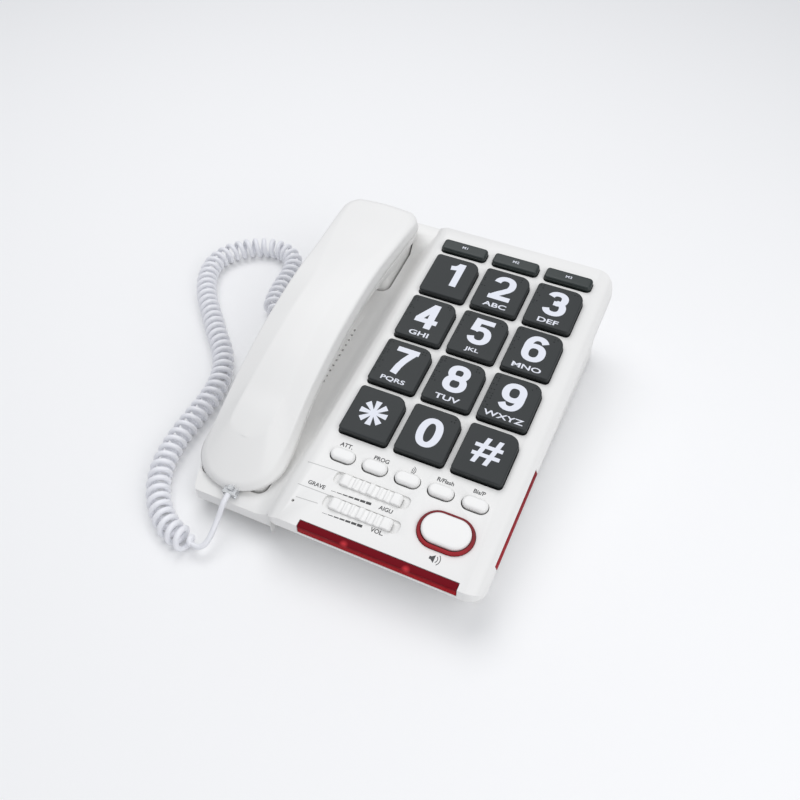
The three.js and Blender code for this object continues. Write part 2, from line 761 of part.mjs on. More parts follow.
// Half the handset's width at its parting, rounded off at both ends.
function halfWidth(s, inset) {
  const full = widest(s) - inset;
  const noseRadius = NOSE_RADIUS - inset;
  const nose = Math.max(0, NOSE_TIP + NOSE_RADIUS - s) / noseRadius;
  const ear = Math.max(0, s - EAR_END + EAR_RADIUS) / (EAR_RADIUS - inset);
  const round = EAR_RADIUS * (1 - Math.sqrt(Math.max(0, 1 - ear * ear)));
  return Math.max(1.2, full * Math.sqrt(Math.max(0, 1 - nose * nose)) - round);
}

// Where the handset's cross-sections stand, from the nose, as lengths along it.
const STATIONS = [
  0, 1.2, 4, 8.5, 14, 21, 30, 40, 50, 62, 76, 91, 106, 121, 136, 151,
  166, 181, 192, 200, 206, 209.5, 211.3,
];

// Cross-sections of x, w points joined end to end; sectionAt returns the right side from the bottom up.
function loft(sectionAt, inset) {
  const length = EAR_END - NOSE_TIP;
  const sections = STATIONS.map((t) => {
    const s = NOSE_TIP + inset + (t / length) * (length - 2 * inset);
    const right = sectionAt(s, inset);
    const left = right.map(([x, w]) => [-x, w]).reverse();
    return [...right, ...left].map(([x, w]) => new THREE.Vector3(HANDSET_X + x, s, w));
  });
  const count = sections[0].length;
  const ringShape = new THREE.Shape();
  for (let i = 0; i < count; i++) {
    const angle = (2 * Math.PI * i) / count;
    ringShape.lineTo(Math.cos(angle), Math.sin(angle));
  }
  const steps = STATIONS.length - 1;
  const g = new THREE.ExtrudeGeometry(ringShape, { depth: steps, steps, bevelEnabled: false });
  const at = g.attributes.position;
  for (let i = 0; i < at.count; i++) {
    const turn = Math.atan2(at.getY(i), at.getX(i)) / (2 * Math.PI);
    const corner = (Math.round(turn * count) + count) % count;
    const section = sections[steps - Math.round(at.getZ(i))];
    at.setXYZ(i, ...section[corner].toArray());
  }
  return solid(g);
}

function upperSection(s, inset) {
  const half = halfWidth(s, inset);
  const edge = half - Math.min(edgeTuck(s), 0.3 * half);
  const flat = Math.min(flatWidth(s) - inset / 2, 0.8 * edge);
  const low = partingHeight(s) - (inset ? 3 : 0);
  return [[half, low], [edge, edgeHeight(s) - inset], [flat, flatHeight(s) - inset]];
}

function lowerSection(s, inset) {
  const half = halfWidth(s, inset);
  const under = half - Math.min(underTuck(s), 0.3 * half);
  const low = Math.min(underHeight(s) + inset, partingHeight(s) - 1.5);
  const top = partingHeight(s) + (inset ? 4 : -GAP);
  return [[under, low], [half, top]];
}

// Everything under the parting line.
function belowSection(s, inset) {
  return [[40, -60], [40, partingHeight(s) + (inset ? 4 : -GAP)]];
}

function cup(front, back, floor, inset) {
  const width = CUP_WIDTH - 2 * inset;
  const depth = back - front - 2 * inset;
  const outline = roundedRect(width, depth, 6 - inset / 2, HANDSET_X, (front + back) / 2);
  return prism(outline, floor + inset, 20);
}

// Grip and both cups below the parting line.
function lowerShellForm(inset) {
  const ear = cup(EAR_FRONT, EAR_BACK, EAR_FLOOR, inset);
  const cups = ear.add(cup(MOUTH_FRONT, MOUTH_BACK, MOUTH_FLOOR, inset));
  const plain = loft(belowSection, 0);
  const deep = inset ? loft((s) => belowSection(s, inset), 0) : plain;
  return cups.intersect(deep).add(loft(lowerSection, inset));
}

const JACK_X = HANDSET_X + 4.2; // the jack is off the handset's middle
const PLUG_W = -8.6; // centre of the plug in the handset's nose
const NOSE_JACK_FRONT = MOUTH_FRONT + SHELL;
const NOSE_JACK_LENGTH = 9;
const NOSE_JACK_HEIGHT = 8;

// The room for the jack in the mouth cup, and the notch in the nose that the plug enters through.
function noseOpening() {
  const half = JACK_WIDTH / 2 + GAP;
  const height = NOSE_JACK_HEIGHT / 2 + GAP;
  const back = NOSE_JACK_FRONT + NOSE_JACK_LENGTH + GAP;
  const x = JACK_X;
  const room = box(x - half, x + half, NOSE_JACK_FRONT - GAP, back, PLUG_W - height, PLUG_W + height);
  const notchTop = PLUG_W + PLUG_HEIGHT / 2 + 0.8;
  const notchHalf = PLUG_WIDTH / 2 + 1;
  return room.add(box(x - notchHalf, x + notchHalf, 0, NOSE_JACK_FRONT, PLUG_W - 8, notchTop));
}

function handsetUpper() {
  const shell = loft(upperSection, 0).subtract(loft(upperSection, SHELL));
  return shell.subtract(noseOpening());
}

function handsetLower() {
  let shell = lowerShellForm(0).subtract(lowerShellForm(SHELL));
  for (let i = 0; i < 7; i++) {
    const angle = (i * Math.PI) / 3;
    const reach = i === 6 ? 0 : 6;
    const x = HANDSET_X + reach * Math.cos(angle);
    const s = EAR_MIDDLE + 2 + reach * Math.sin(angle);
    shell = shell.subtract(peg(x, s, EAR_FLOOR - 2, EAR_FLOOR + 5, 1.1, 6));
  }
  for (const x of [-4, 0, 4]) {
    shell = shell.subtract(peg(HANDSET_X + x, MOUTH_MIDDLE + 4, MOUTH_FLOOR - 2, MOUTH_FLOOR + 4, 1, 6));
  }
  return shell.subtract(noseOpening());
}

const RECEIVER_MARGIN = 2; // room round the receiver inside its cup
const RECEIVER_HEIGHT = 9;

function receiver() {
  const radius = CUP_WIDTH / 2 - SHELL - RECEIVER_MARGIN;
  const g = new THREE.CylinderGeometry(radius, radius, RECEIVER_HEIGHT, 20);
  g.rotateX(Math.PI / 2);
  g.translate(HANDSET_X, EAR_MIDDLE, EAR_FLOOR + SHELL + REST_GAP + RECEIVER_HEIGHT / 2);
  return solid(g);
}

function microphone() {
  return peg(HANDSET_X, MOUTH_MIDDLE + 4, MOUTH_FLOOR + SHELL + 0.4, MOUTH_FLOOR + SHELL + 5, 5, 14);
}

function handsetWeight() {
  return box(HANDSET_X - 13, HANDSET_X + 13, 104, 132, 7.5, 13.5);
}

function plugCavity(grow) {
  return [PLUG_WIDTH / 2 + grow, PLUG_HEIGHT / 2 + grow];
}

function handsetJack() {
  const [half, height] = plugCavity(GAP);
  const deep = NOSE_JACK_HEIGHT / 2;
  const x = JACK_X;
  const s0 = NOSE_JACK_FRONT;
  const s1 = s0 + NOSE_JACK_LENGTH;
  const plugTip = NOSE_TIP - PLUG_OUT + PLUG_LENGTH + GAP;
  const housing = box(x - JACK_WIDTH / 2, x + JACK_WIDTH / 2, s0, s1, PLUG_W - deep, PLUG_W + deep);
  return housing.subtract(box(x - half, x + half, s0 - 1, plugTip, PLUG_W - height, PLUG_W + height));
}

// ---------------------------------------------------------------- cord

// A modular plug lying along +y from its cord end at the origin, with its locking lever on top.
function plug() {
  const [half, height] = plugCavity(0);
  const body = box(-half, half, 0, PLUG_LENGTH, -height, height - 1.4);
  const lever = box(-1.5, 1.5, 2, PLUG_LENGTH - 1, height - 1.5, height);
  return body.add(lever);
}

const handsetPlugMatrix = new THREE.Matrix4().makeTranslation(JACK_X, NOSE_TIP - PLUG_OUT, PLUG_W);
const TRAY_WALL_X = -HALF_WIDTH + TRAY_INSET;
const basePlugMatrix = new THREE.Matrix4()
  .makeRotationZ(-Math.PI / 2)
  .setPosition(TRAY_WALL_X - PLUG_OUT, BASE_JACK_Y, BASE_JACK_Z);

function baseJack() {
  const [half, height] = plugCavity(GAP);
  const x0 = TRAY_WALL_X + 0.5;
  const mouthEnd = TRAY_WALL_X - PLUG_OUT + PLUG_LENGTH + GAP;
  const housing = box(
    x0,
    x0 + 15,
    BASE_JACK_Y - JACK_WIDTH / 2,
    BASE_JACK_Y + JACK_WIDTH / 2,
    BASE_JACK_Z - JACK_HEIGHT / 2,
    BASE_JACK_Z + JACK_HEIGHT / 2,
  );
  const mouth = box(
    x0 - 1,
    mouthEnd,
    BASE_JACK_Y - half,
    BASE_JACK_Y + half,
    BASE_JACK_Z - height,
    BASE_JACK_Z + height,
  );
  return housing.subtract(mouth);
}

function lineJack() {
  const [half, height] = plugCavity(1);
  const back = HALF_DEPTH - 6;
  const low = LINE_JACK_Z - JACK_HEIGHT / 2;
  const x = LINE_JACK_X;
  const housing = box(x - JACK_WIDTH / 2, x + JACK_WIDTH / 2, back - 14, back, low, low + JACK_HEIGHT);
  const mouthLow = LINE_JACK_Z - height + 1;
  const mouthHigh = LINE_JACK_Z + height - 1;
  return housing.subtract(box(x - half, x + half, back - 11, back + 1, mouthLow, mouthHigh));
}

// Routes on the desk, in x, y, z.
const CORD_REST = COIL_DIAMETER / 2 + 0.1;
const handsetEnd = new THREE.Vector3(JACK_X, NOSE_TIP - PLUG_OUT - GAP, PLUG_W).applyMatrix4(deckMatrix);
const baseEnd = new THREE.Vector3(TRAY_WALL_X - PLUG_OUT - GAP, BASE_JACK_Y, BASE_JACK_Z);
const COIL_ROUTE = [
  [-121.5, 44],
  [-126.5, 56],
  [-129.5, 70],
  [-131.5, 85],
  [-136, 98],
  [-146, 105.5],
  [-160, 106],
  [-173, 99.5],
  [-183, 88],
  [-186.5, 73],
  [-181.5, 56],
  [-170.5, 39.5],
  [-157, 25],
  [-144.5, 11.5],
  [-133, 0],
  [-124.5, -12],
  [-119, -25],
  [-116.5, -40],
  [-116, -57],
  [-115, -77],
  [-110.5, -97],
  [-100, -115],
  [-84, -128],
  [-66, -132.5],
].map(([x, y]) => new THREE.Vector3(x, y, CORD_REST));
// A point just off an end of the coil, in line with its last stretch.
function offEnd(end, before) {
  return end.clone().add(end.clone().sub(before).setLength(GAP));
}

const coilStart = offEnd(COIL_ROUTE[0], COIL_ROUTE[1]);
const coilFinish = offEnd(COIL_ROUTE[COIL_ROUTE.length - 1], COIL_ROUTE[COIL_ROUTE.length - 2]);
const HANDSET_TAIL = [
  handsetEnd,
  new THREE.Vector3(JACK_X, handsetEnd.y - 5, handsetEnd.z - 0.8),
  new THREE.Vector3(JACK_X + 0.2, handsetEnd.y - 13, 14),
  new THREE.Vector3(JACK_X + 0.4, coilFinish.y + 4, 9),
  new THREE.Vector3(JACK_X - 1.6, coilFinish.y - 0.8, 7.3),
  coilFinish,
];
const BASE_TAIL = [
  baseEnd,
  new THREE.Vector3(baseEnd.x - 6, BASE_JACK_Y, BASE_JACK_Z),
  new THREE.Vector3(-103, 17.5, 9.4),
  new THREE.Vector3(-112, 27, 7.6),
  new THREE.Vector3(-118.2, 37.5, 7.1),
  coilStart,
];

function tubeAlong(points, diameter, steps, sides) {
  const section = new THREE.Shape();
  section.absarc(0, 0, diameter / 2, 0, 2 * Math.PI);
  const path = new THREE.CatmullRomCurve3(points, false, "centripetal");
  const g = new THREE.ExtrudeGeometry(section, { steps, curveSegments: sides / 2, extrudePath: path });
  return solid(g);
}

// ---------------------------------------------------------------- assembly

add(deck, "base_upper_casing", upperCasing(), casingWhite());
add(phone, "base_lower_casing", lowerCasing(), casingWhite());
for (const key of keys) add(deck, key.name, keyCap(key), key.material());
add(deck, "speaker_light_ring", ring(), lensRed());
for (const slider of SLIDERS) {
  add(deck, slider.name + "_slider", sliderThumb(slider), buttonWhite());
  add(deck, slider.name + "_potentiometer", potentiometer(slider), blackPlastic());
}
add(deck, "front_lens", frontLensForm(0).intersect(casingForm(0)), lensRed());
add(deck, "side_lens", sideLensForm(0, LENS_THICK - GAP).intersect(casingForm(0)), lensRed());
add(deck, "keypad_rubber_mat", rubberMat(), rubberGrey());
add(deck, "main_circuit_board", circuitBoard(), boardGreen());
add(deck, "indicator_lamp_left", lamp(LAMP_LEFT), lensRed());
add(deck, "indicator_lamp_right", lamp(LAMP_RIGHT), lensRed());
add(deck, "hook_plunger", hookPlunger(), buttonWhite());
add(deck, "hook_switch", hookSwitch(), blackPlastic());
add(deck, "loudspeaker", loudspeaker(), steel());
add(phone, "line_jack", lineJack(), blackPlastic());
add(phone, "handset_cord_jack", baseJack(), blackPlastic());
for (const [name, x, y] of FEET) {
  add(phone, name, peg(x, y, 0, LOW_Z + 1 - GAP, FOOT_RADIUS), rubberGrey());
}
for (const place of SCREWS) add(phone, place[0], screw(place), steel());
add(phone, "ballast_plate", box(-30, 50, -40, 40, LOW_Z + FLOOR + GAP, LOW_Z + FLOOR + 3.3), steel());

add(deck, "handset_upper_shell", handsetUpper(), casingWhite());
add(deck, "handset_lower_shell", handsetLower(), casingWhite());
add(deck, "receiver_capsule", receiver(), blackPlastic());
add(deck, "microphone_capsule", microphone(), blackPlastic());
add(deck, "handset_weight", handsetWeight(), steel());
add(deck, "handset_jack", handsetJack(), blackPlastic());
add(deck, "cord_plug_handset", plug().transform(handsetPlugMatrix.elements), clearPlug());
add(phone, "cord_plug_base", plug().transform(basePlugMatrix.elements), clearPlug());
add(phone, "cord_tail_handset", tubeAlong(HANDSET_TAIL, CORD_DIAMETER, 8, 8), cordWhite());
add(phone, "cord_coil", tubeAlong(COIL_ROUTE, COIL_DIAMETER, 44, 10), cordWhite());
add(phone, "cord_tail_base", tubeAlong(BASE_TAIL, CORD_DIAMETER, 8, 8), cordWhite());

export default phone;
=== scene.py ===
import json
import math

import bmesh
import bpy
import numpy as np
from mathutils import Matrix, Vector


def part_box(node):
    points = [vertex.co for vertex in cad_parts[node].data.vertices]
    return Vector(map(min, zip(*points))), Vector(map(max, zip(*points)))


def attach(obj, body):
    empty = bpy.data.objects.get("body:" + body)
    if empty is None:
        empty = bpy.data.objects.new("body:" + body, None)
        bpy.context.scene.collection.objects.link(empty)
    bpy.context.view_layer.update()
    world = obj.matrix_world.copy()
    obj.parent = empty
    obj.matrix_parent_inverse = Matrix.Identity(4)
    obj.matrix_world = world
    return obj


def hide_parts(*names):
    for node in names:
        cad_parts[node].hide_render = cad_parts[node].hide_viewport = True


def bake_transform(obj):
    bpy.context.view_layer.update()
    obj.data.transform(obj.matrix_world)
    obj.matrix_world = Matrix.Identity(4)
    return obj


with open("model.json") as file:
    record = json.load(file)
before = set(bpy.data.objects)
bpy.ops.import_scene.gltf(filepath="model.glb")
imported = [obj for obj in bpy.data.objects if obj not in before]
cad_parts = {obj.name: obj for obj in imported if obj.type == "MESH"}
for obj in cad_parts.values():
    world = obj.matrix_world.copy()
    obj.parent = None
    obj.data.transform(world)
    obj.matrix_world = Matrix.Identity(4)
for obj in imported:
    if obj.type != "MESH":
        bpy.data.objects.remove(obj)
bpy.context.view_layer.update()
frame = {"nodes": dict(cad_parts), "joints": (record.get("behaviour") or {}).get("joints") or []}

# ---------------------------------------------------------------- camera and studio
# A tabletop studio: a pale floor, a large soft light above on the left, another on the right, and
# a bright room all round. The camera looks down on the phone from its right.

EYE = Vector((0.14098, -0.31527, 0.39466))
VIEW_RIGHT = Vector((0.906439, 0.422337, 0.0))
VIEW_UP = Vector((-0.310490, 0.666388, 0.677882))
LENS_MM = 38.7

camera_data = bpy.data.cameras.new("camera")
camera_data.lens = LENS_MM
camera_data.sensor_width = 36.0
camera_data.clip_start = 0.01
camera = bpy.data.objects.new("camera", camera_data)
view_back = VIEW_RIGHT.cross(VIEW_UP)
view_turn = Matrix((VIEW_RIGHT, VIEW_UP, view_back)).transposed().to_4x4()
camera.matrix_world = Matrix.Translation(EYE) @ view_turn
bpy.context.scene.collection.objects.link(camera)
bpy.context.scene.camera = camera


def soft_light(name, place, aim, size, power):
    """A square lamp of the given size, turned to face aim."""
    lamp = bpy.data.lights.new(name, "AREA")
    lamp.size = size
    lamp.energy = power
    lit = bpy.data.objects.new(name, lamp)
    lit.location = place
    lit.rotation_euler = (Vector(aim) - Vector(place)).to_track_quat("-Z", "Y").to_euler()
    bpy.context.scene.collection.objects.link(lit)


soft_light("light_over_left", (-0.3, 0.3, 1.0), (0, 0, 0.03), 0.8, 4.5)
soft_light("light_front_right", (0.75, -0.35, 0.8), (0, 0, 0.03), 0.8, 4.5)

room = bpy.data.worlds.new("room")
room.use_nodes = True
room.node_tree.nodes["Background"].inputs["Color"].default_value = (0.93, 0.95, 1.0, 1)
room.node_tree.nodes["Background"].inputs["Strength"].default_value = 0.52
bpy.context.scene.world = room
bpy.context.scene.view_settings.view_transform = "Standard"

floor_mesh = bpy.data.meshes.new("studio_floor")
floor_mesh.from_pydata([(-3, -3, 0), (3, -3, 0), (3, 3, 0), (-3, 3, 0)], [], [(0, 1, 2, 3)])
studio_floor = bpy.data.objects.new("studio_floor", floor_mesh)
bpy.context.scene.collection.objects.link(studio_floor)
floor_paint = bpy.data.materials.new("floor_paint")
floor_paint.use_nodes = True
floor_shader = floor_paint.node_tree.nodes["Principled BSDF"]
floor_shader.inputs["Base Color"].default_value = (0.93, 0.93, 0.93, 1)
floor_shader.inputs["Roughness"].default_value = 0.8
floor_mesh.materials.append(floor_paint)

# ---------------------------------------------------------------- curly handset cord
# One white PVC flex with a moulded curl. A plain lead leaves the plug in the handset's nose, the
# curl runs along the desk on the phone's left, and a second lead goes to the socket in the base.

MM = 0.001
WIRE = 3.2 * MM
CURL_RADIUS = 5.4 * MM  # of the wire's middle round the curl's own axis
CURL_PITCH = 6.0 * MM
CURL_FADE = 5 * MM  # over which the curl opens out into each lead
CURL_HEIGHT = 7.1 * MM
WIRE_SIDES = 12

handset_plug_low, handset_plug_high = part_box("cord_plug_handset")
base_plug_low, base_plug_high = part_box("cord_plug_base")
handset_exit = Vector((
    (handset_plug_low.x + handset_plug_high.x) / 2,
    handset_plug_low.y + 0.2 * MM,
    handset_plug_low.z + 3.0 * MM,
))
base_exit = Vector((
    base_plug_low.x,
    (base_plug_low.y + base_plug_high.y) / 2,
    (base_plug_low.z + base_plug_high.z) / 2,
))

HANDSET_LEAD = [(-59.0, -109.5, 19.6), (-58.9, -117.0, 14.0), (-58.7, -126.5, 9.3), (-60.6, -131.5, 7.4)]
CURL = [
    (-66, -132.5), (-84, -128), (-100, -115), (-110.5, -97), (-115, -77), (-116, -57), (-116.5, -40),
    (-119, -25), (-124.5, -12), (-133, 0), (-144.5, 11.5), (-157, 25), (-170.5, 39.5), (-181.5, 56),
    (-186.5, 73), (-183, 88), (-173, 99.5), (-160, 106), (-146, 105.5), (-136, 98), (-131.5, 85),
    (-129.5, 70), (-126.5, 56), (-121.5, 44),
]
BASE_LEAD = [(-118.2, 37.5, 7.1), (-112, 27, 7.6), (-103, 17.5, 9.4), (-93.6, 14, 11.5)]


def smooth_route(points, step):
    """Catmull-Rom curve: each stretch is the cubic that leaves and meets its two points along the
    line between their neighbours. The result is resampled at even steps of length."""
    p = np.array(points, float)
    p = np.vstack([2 * p[0] - p[1], p, 2 * p[-1] - p[-2]])
    t = np.linspace(0, 1, 24, endpoint=False)[None, :, None]
    a, b, c, d = (p[i : len(p) - 3 + i, None, :] for i in range(4))
    bend = (2 * a - 5 * b + 4 * c - d) * t**2 + (3 * b - a - 3 * c + d) * t**3
    dense = 0.5 * (2 * b + (c - a) * t + bend)
    dense = np.vstack([dense.reshape(-1, 3), p[-2:-1]])
    run = np.concatenate([[0], np.cumsum(np.linalg.norm(np.diff(dense, axis=0), axis=1))])
    even = np.linspace(0, run[-1], int(run[-1] / step) + 1)
    return np.stack([np.interp(even, run, dense[:, k]) for k in range(3)], 1), even


def unit(vectors):
    """Each row divided by its own length."""
    return vectors / np.maximum(np.linalg.norm(vectors, axis=1, keepdims=True), 1e-12)


def mesh_piece(name, verts, faces, smooth=True):
    """A piece whose mesh has these corners and faces, in metres, with its object at the origin."""
    mesh = bpy.data.meshes.new(name)
    mesh.from_pydata([tuple(v) for v in np.asarray(verts, float)], [], [tuple(f) for f in faces])
    mesh.validate()
    mesh.polygons.foreach_set("use_smooth", np.full(len(mesh.polygons), smooth))
    mesh.update()
    piece = bpy.data.objects.new(name, mesh)
    bpy.context.scene.collection.objects.link(piece)
    return piece


def grid_faces(rows, columns, closed=True):
    """Quads of a grid whose corners are numbered row by row; closed joins its last column to its first."""
    r = np.arange(rows - 1)[:, None]
    c = np.arange(columns if closed else columns - 1)[None, :]
    n = (c + 1) % columns
    near, far = r * columns, (r + 1) * columns
    quads = np.stack(np.broadcast_arrays(near + c, near + n, far + n, far + c), -1)
    return quads.reshape(-1, 4).tolist()


def tube(name, path, across, radius, sides):
    """Rings of the given radius round each point of a path, square to it. across is a direction for
    each point that isn't along the path, and both ends are closed by a flat face."""
    ahead = unit(np.gradient(path, axis=0))
    first = unit(across - ahead * (across * ahead).sum(1, keepdims=True))
    second = np.cross(ahead, first)
    turn = np.linspace(0, 2 * np.pi, sides, endpoint=False)
    ring = first[:, None] * np.cos(turn)[None, :, None] + second[:, None] * np.sin(turn)[None, :, None]
    verts = (path[:, None] + radius * ring).reshape(-1, 3)
    faces = grid_faces(len(path), sides)
    last = (len(path) - 1) * sides
    faces.append(list(range(sides))[::-1])
    faces.append([last + i for i in range(sides)])
    return mesh_piece(name, verts, faces)


def plastic(name, color, roughness, grain=0.05, mottle=0.03, scale=2200.0):
    """Moulded plastic: a fine spark-eroded grain in its bump, and a slow drift of a few per cent in
    its colour and roughness."""
    made = bpy.data.materials.new(name)
    made.use_nodes = True
    nodes, links = made.node_tree.nodes, made.node_tree.links
    shader = nodes["Principled BSDF"]
    place = nodes.new("ShaderNodeTexCoord")
    drift = nodes.new("ShaderNodeTexNoise")
    drift.inputs["Scale"].default_value = 26.0
    drift.inputs["Detail"].default_value = 3.0
    links.new(place.outputs["Object"], drift.inputs["Vector"])
    tint = nodes.new("ShaderNodeMix")
    tint.data_type = "RGBA"
    tint.inputs["A"].default_value = (*[c * (1 - mottle) for c in color], 1)
    tint.inputs["B"].default_value = (*[min(1.0, c * (1 + mottle)) for c in color], 1)
    links.new(drift.outputs["Fac"], tint.inputs["Factor"])
    links.new(tint.outputs["Result"], shader.inputs["Base Color"])
    gloss = nodes.new("ShaderNodeMapRange")
    gloss.inputs["To Min"].default_value = roughness - 0.05
    gloss.inputs["To Max"].default_value = roughness + 0.05
    links.new(drift.outputs["Fac"], gloss.inputs["Value"])
    links.new(gloss.outputs["Result"], shader.inputs["Roughness"])
    sparks = nodes.new("ShaderNodeTexNoise")
    sparks.inputs["Scale"].default_value = scale
    sparks.inputs["Detail"].default_value = 2.0
    links.new(place.outputs["Object"], sparks.inputs["Vector"])
    bump = nodes.new("ShaderNodeBump")
    bump.inputs["Strength"].default_value = grain
    bump.inputs["Distance"].default_value = 0.0002
    links.new(sparks.outputs["Fac"], bump.inputs["Height"])
    links.new(bump.outputs["Normal"], shader.inputs["Normal"])
    return made


def wear(piece, material, body=None):
    """Gives a piece its only material, and where named its body."""
    piece.data.materials.clear()
    piece.data.materials.append(material)
    if body:
        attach(piece, body)
    return piece


ROUTE_STEP = 0.3 * MM
handset_lead = [tuple(handset_exit / MM)] + HANDSET_LEAD
base_lead = BASE_LEAD + [tuple(base_exit / MM)]
curl = [(x, y, CURL_HEIGHT / MM) for x, y in CURL]
cord_points = [[c * MM for c in p] for p in handset_lead + curl + base_lead]
axis_path, along_axis = smooth_route(cord_points, ROUTE_STEP)
axis_ahead = unit(np.gradient(axis_path, axis=0))
axis_side = unit(np.cross([0, 0, 1.0], axis_ahead))
axis_up = np.cross(axis_ahead, axis_side)


def length_at(point):
    """How far along the axis the point nearest to the given one lies."""
    return along_axis[np.argmin(np.linalg.norm(axis_path - np.array(point) * MM, axis=1))]


curl_start, curl_finish = length_at(curl[0]), length_at(curl[-1])
ease = np.clip(np.minimum(along_axis - curl_start, curl_finish - along_axis) / CURL_FADE, 0, 1)
swell = CURL_RADIUS * ease**2 * (3 - 2 * ease)
phase = 2 * np.pi * (along_axis - curl_start) / CURL_PITCH
outward = axis_side * np.cos(phase)[:, None] + axis_up * np.sin(phase)[:, None]
wire_path = axis_path + outward * swell[:, None]
handset_cord = tube("handset_cord", wire_path, outward, WIRE / 2, WIRE_SIDES)
wear(handset_cord, plastic("white_pvc", (0.86, 0.865, 0.9), 0.38, grain=0.03))
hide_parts("cord_tail_handset", "cord_coil", "cord_tail_base")
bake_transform(handset_cord)

# ---------------------------------------------------------------- modular plugs
# Small clear polycarbonate plugs on the ends of the cord, with a bent latch. Each is snapped into
# its jack so that only its back shows.


def clear_plastic(name, color, roughness):
    """Clear moulding: mostly see-through, with a faint waviness inside that softens what is behind."""
    made = plastic(name, color, roughness, grain=0.1, scale=700.0)
    shader = made.node_tree.nodes["Principled BSDF"]
    shader.inputs["Transmission Weight"].default_value = 0.55
    shader.inputs["IOR"].default_value = 1.58
    return made


plug_plastic = clear_plastic("clear_polycarbonate", (0.86, 0.88, 0.9), 0.12)
for name in ("cord_plug_handset", "cord_plug_base"):
    wear(frame["nodes"][name], plug_plastic)

# ---------------------------------------------------------------- casings
# Two white ABS mouldings screwed together from below. The upper one has the sloping deck with its
# openings and the two pockets of the cradle, and the lower one is a tray that leans in.


def moulded(node, name, edge, turn=32):
    """The node's own shell as one smooth skin: its loose triangles are joined, spare edges on flat
    ground go, and each edge sharper than turn degrees is rounded to the radius edge."""
    skin = frame["nodes"][node].data.copy()
    skin.name = name
    work = bmesh.new()
    work.from_mesh(skin)
    bmesh.ops.remove_doubles(work, verts=work.verts, dist=0.01 * MM)
    bmesh.ops.dissolve_limit(work, angle_limit=math.radians(0.5), verts=work.verts, edges=work.edges)
    work.to_mesh(skin)
    work.free()
    skin.polygons.foreach_set("use_smooth", np.full(len(skin.polygons), True))
    skin.update()
    piece = bpy.data.objects.new(name, skin)
    bpy.context.scene.collection.objects.link(piece)
    bevel = piece.modifiers.new("rounded_edges", "BEVEL")
    bevel.width = edge
    bevel.segments = 3
    bevel.limit_method = "ANGLE"
    bevel.angle_limit = math.radians(turn)
    bevel.harden_normals = True
    bevel.miter_outer = "MITER_SHARP"
    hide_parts(node)
    return piece


casing_abs = plastic("casing_abs", (0.83, 0.825, 0.81), 0.42, grain=0.06, mottle=0.012)
wear(moulded("base_upper_casing", "upper_casing", 0.35 * MM), casing_abs, "base")
wear(moulded("base_lower_casing", "lower_casing", 0.35 * MM), casing_abs, "base")

# ---------------------------------------------------------------- deck frame
# Everything on the sloping deck is set out in the deck's own directions, which the way the keys
# are pressed gives: x across, s up the slope from the front edge, w out of the deck.

press = next(j for j in frame["joints"] if j["name"] == "key_5_press")
deck_out = -np.array(press["axis"], float)
deck_uphill = np.cross(deck_out, (1.0, 0.0, 0.0))
deck_front = np.array((0.0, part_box("base_upper_casing")[0].y, 28.5 * MM))


def on_deck(points):
    """Rows of x, s, w in millimetres as points in metres: the deck's front edge plus x across plus s
    up the slope plus w out of the deck."""
    p = np.asarray(points, float) * MM
    return deck_front + p[:, :1] * np.array((1.0, 0, 0)) + p[:, 1:2] * deck_uphill + p[:, 2:3] * deck_out


def deck_place(node):
    """The middle of a node's footprint on the deck, as x and s in millimetres."""
    low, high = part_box(node)
    middle = (np.array(low) + np.array(high)) / 2 - deck_front
    return middle[0] / MM, middle @ deck_uphill / MM


def rounded_outline(width, depth, radii, inset=0.0, per_corner=8):
    """Corners of a rounded rectangle about the origin, counter-clockwise from its front right arc.
    radii go front right, back right, back left, front left; inset moves the whole outline inwards."""
    half = np.array((width / 2 - inset, depth / 2 - inset))
    r = np.maximum(np.array(radii, float) - inset, 0.15)
    sign = np.array(((1, -1), (1, 1), (-1, 1), (-1, -1)))
    centre = sign * (half - r[:, None])
    start = np.array((-0.5, 0.0, 0.5, 1.0)) * np.pi
    angle = start[:, None] + np.linspace(0, np.pi / 2, per_corner)[None, :]
    arc = np.stack((np.cos(angle), np.sin(angle)), -1)
    return (centre[:, None] + r[:, None, None] * arc).reshape(-1, 2)


def stacked(name, x, s, outline, rings):
    """A solid built of outlines above each other. rings are pairs of inset and height, from the
    bottom up, and a face closes each end."""
    layers = []
    for inset, height in rings:
        flat = outline(inset)
        layers.append(np.column_stack((flat[:, 0] + x, flat[:, 1] + s, np.full(len(flat), height))))
    count = len(layers[0])
    faces = grid_faces(len(layers), count)
    last = (len(layers) - 1) * count
    faces.append(list(range(count))[::-1])
    faces.append([last + i for i in range(count)])
    return mesh_piece(name, on_deck(np.vstack(layers)), faces)


def rounded_rim(top, radius, steps=6):
    """Rings of a quarter round that turns a wall into a top: inset grows as 1 - cos, height as sin."""
    angle = np.linspace(0, np.pi / 2, steps)
    return [(radius * (1 - math.cos(a)), top - radius * (1 - math.sin(a))) for a in angle]


# ---------------------------------------------------------------- lettering
# Pad-printed or double-shot characters. Each is a thin flat mesh that stands a few hundredths of a
# millimetre out of the plastic it is on.

INK = 0.05  # height of the print, in millimetres


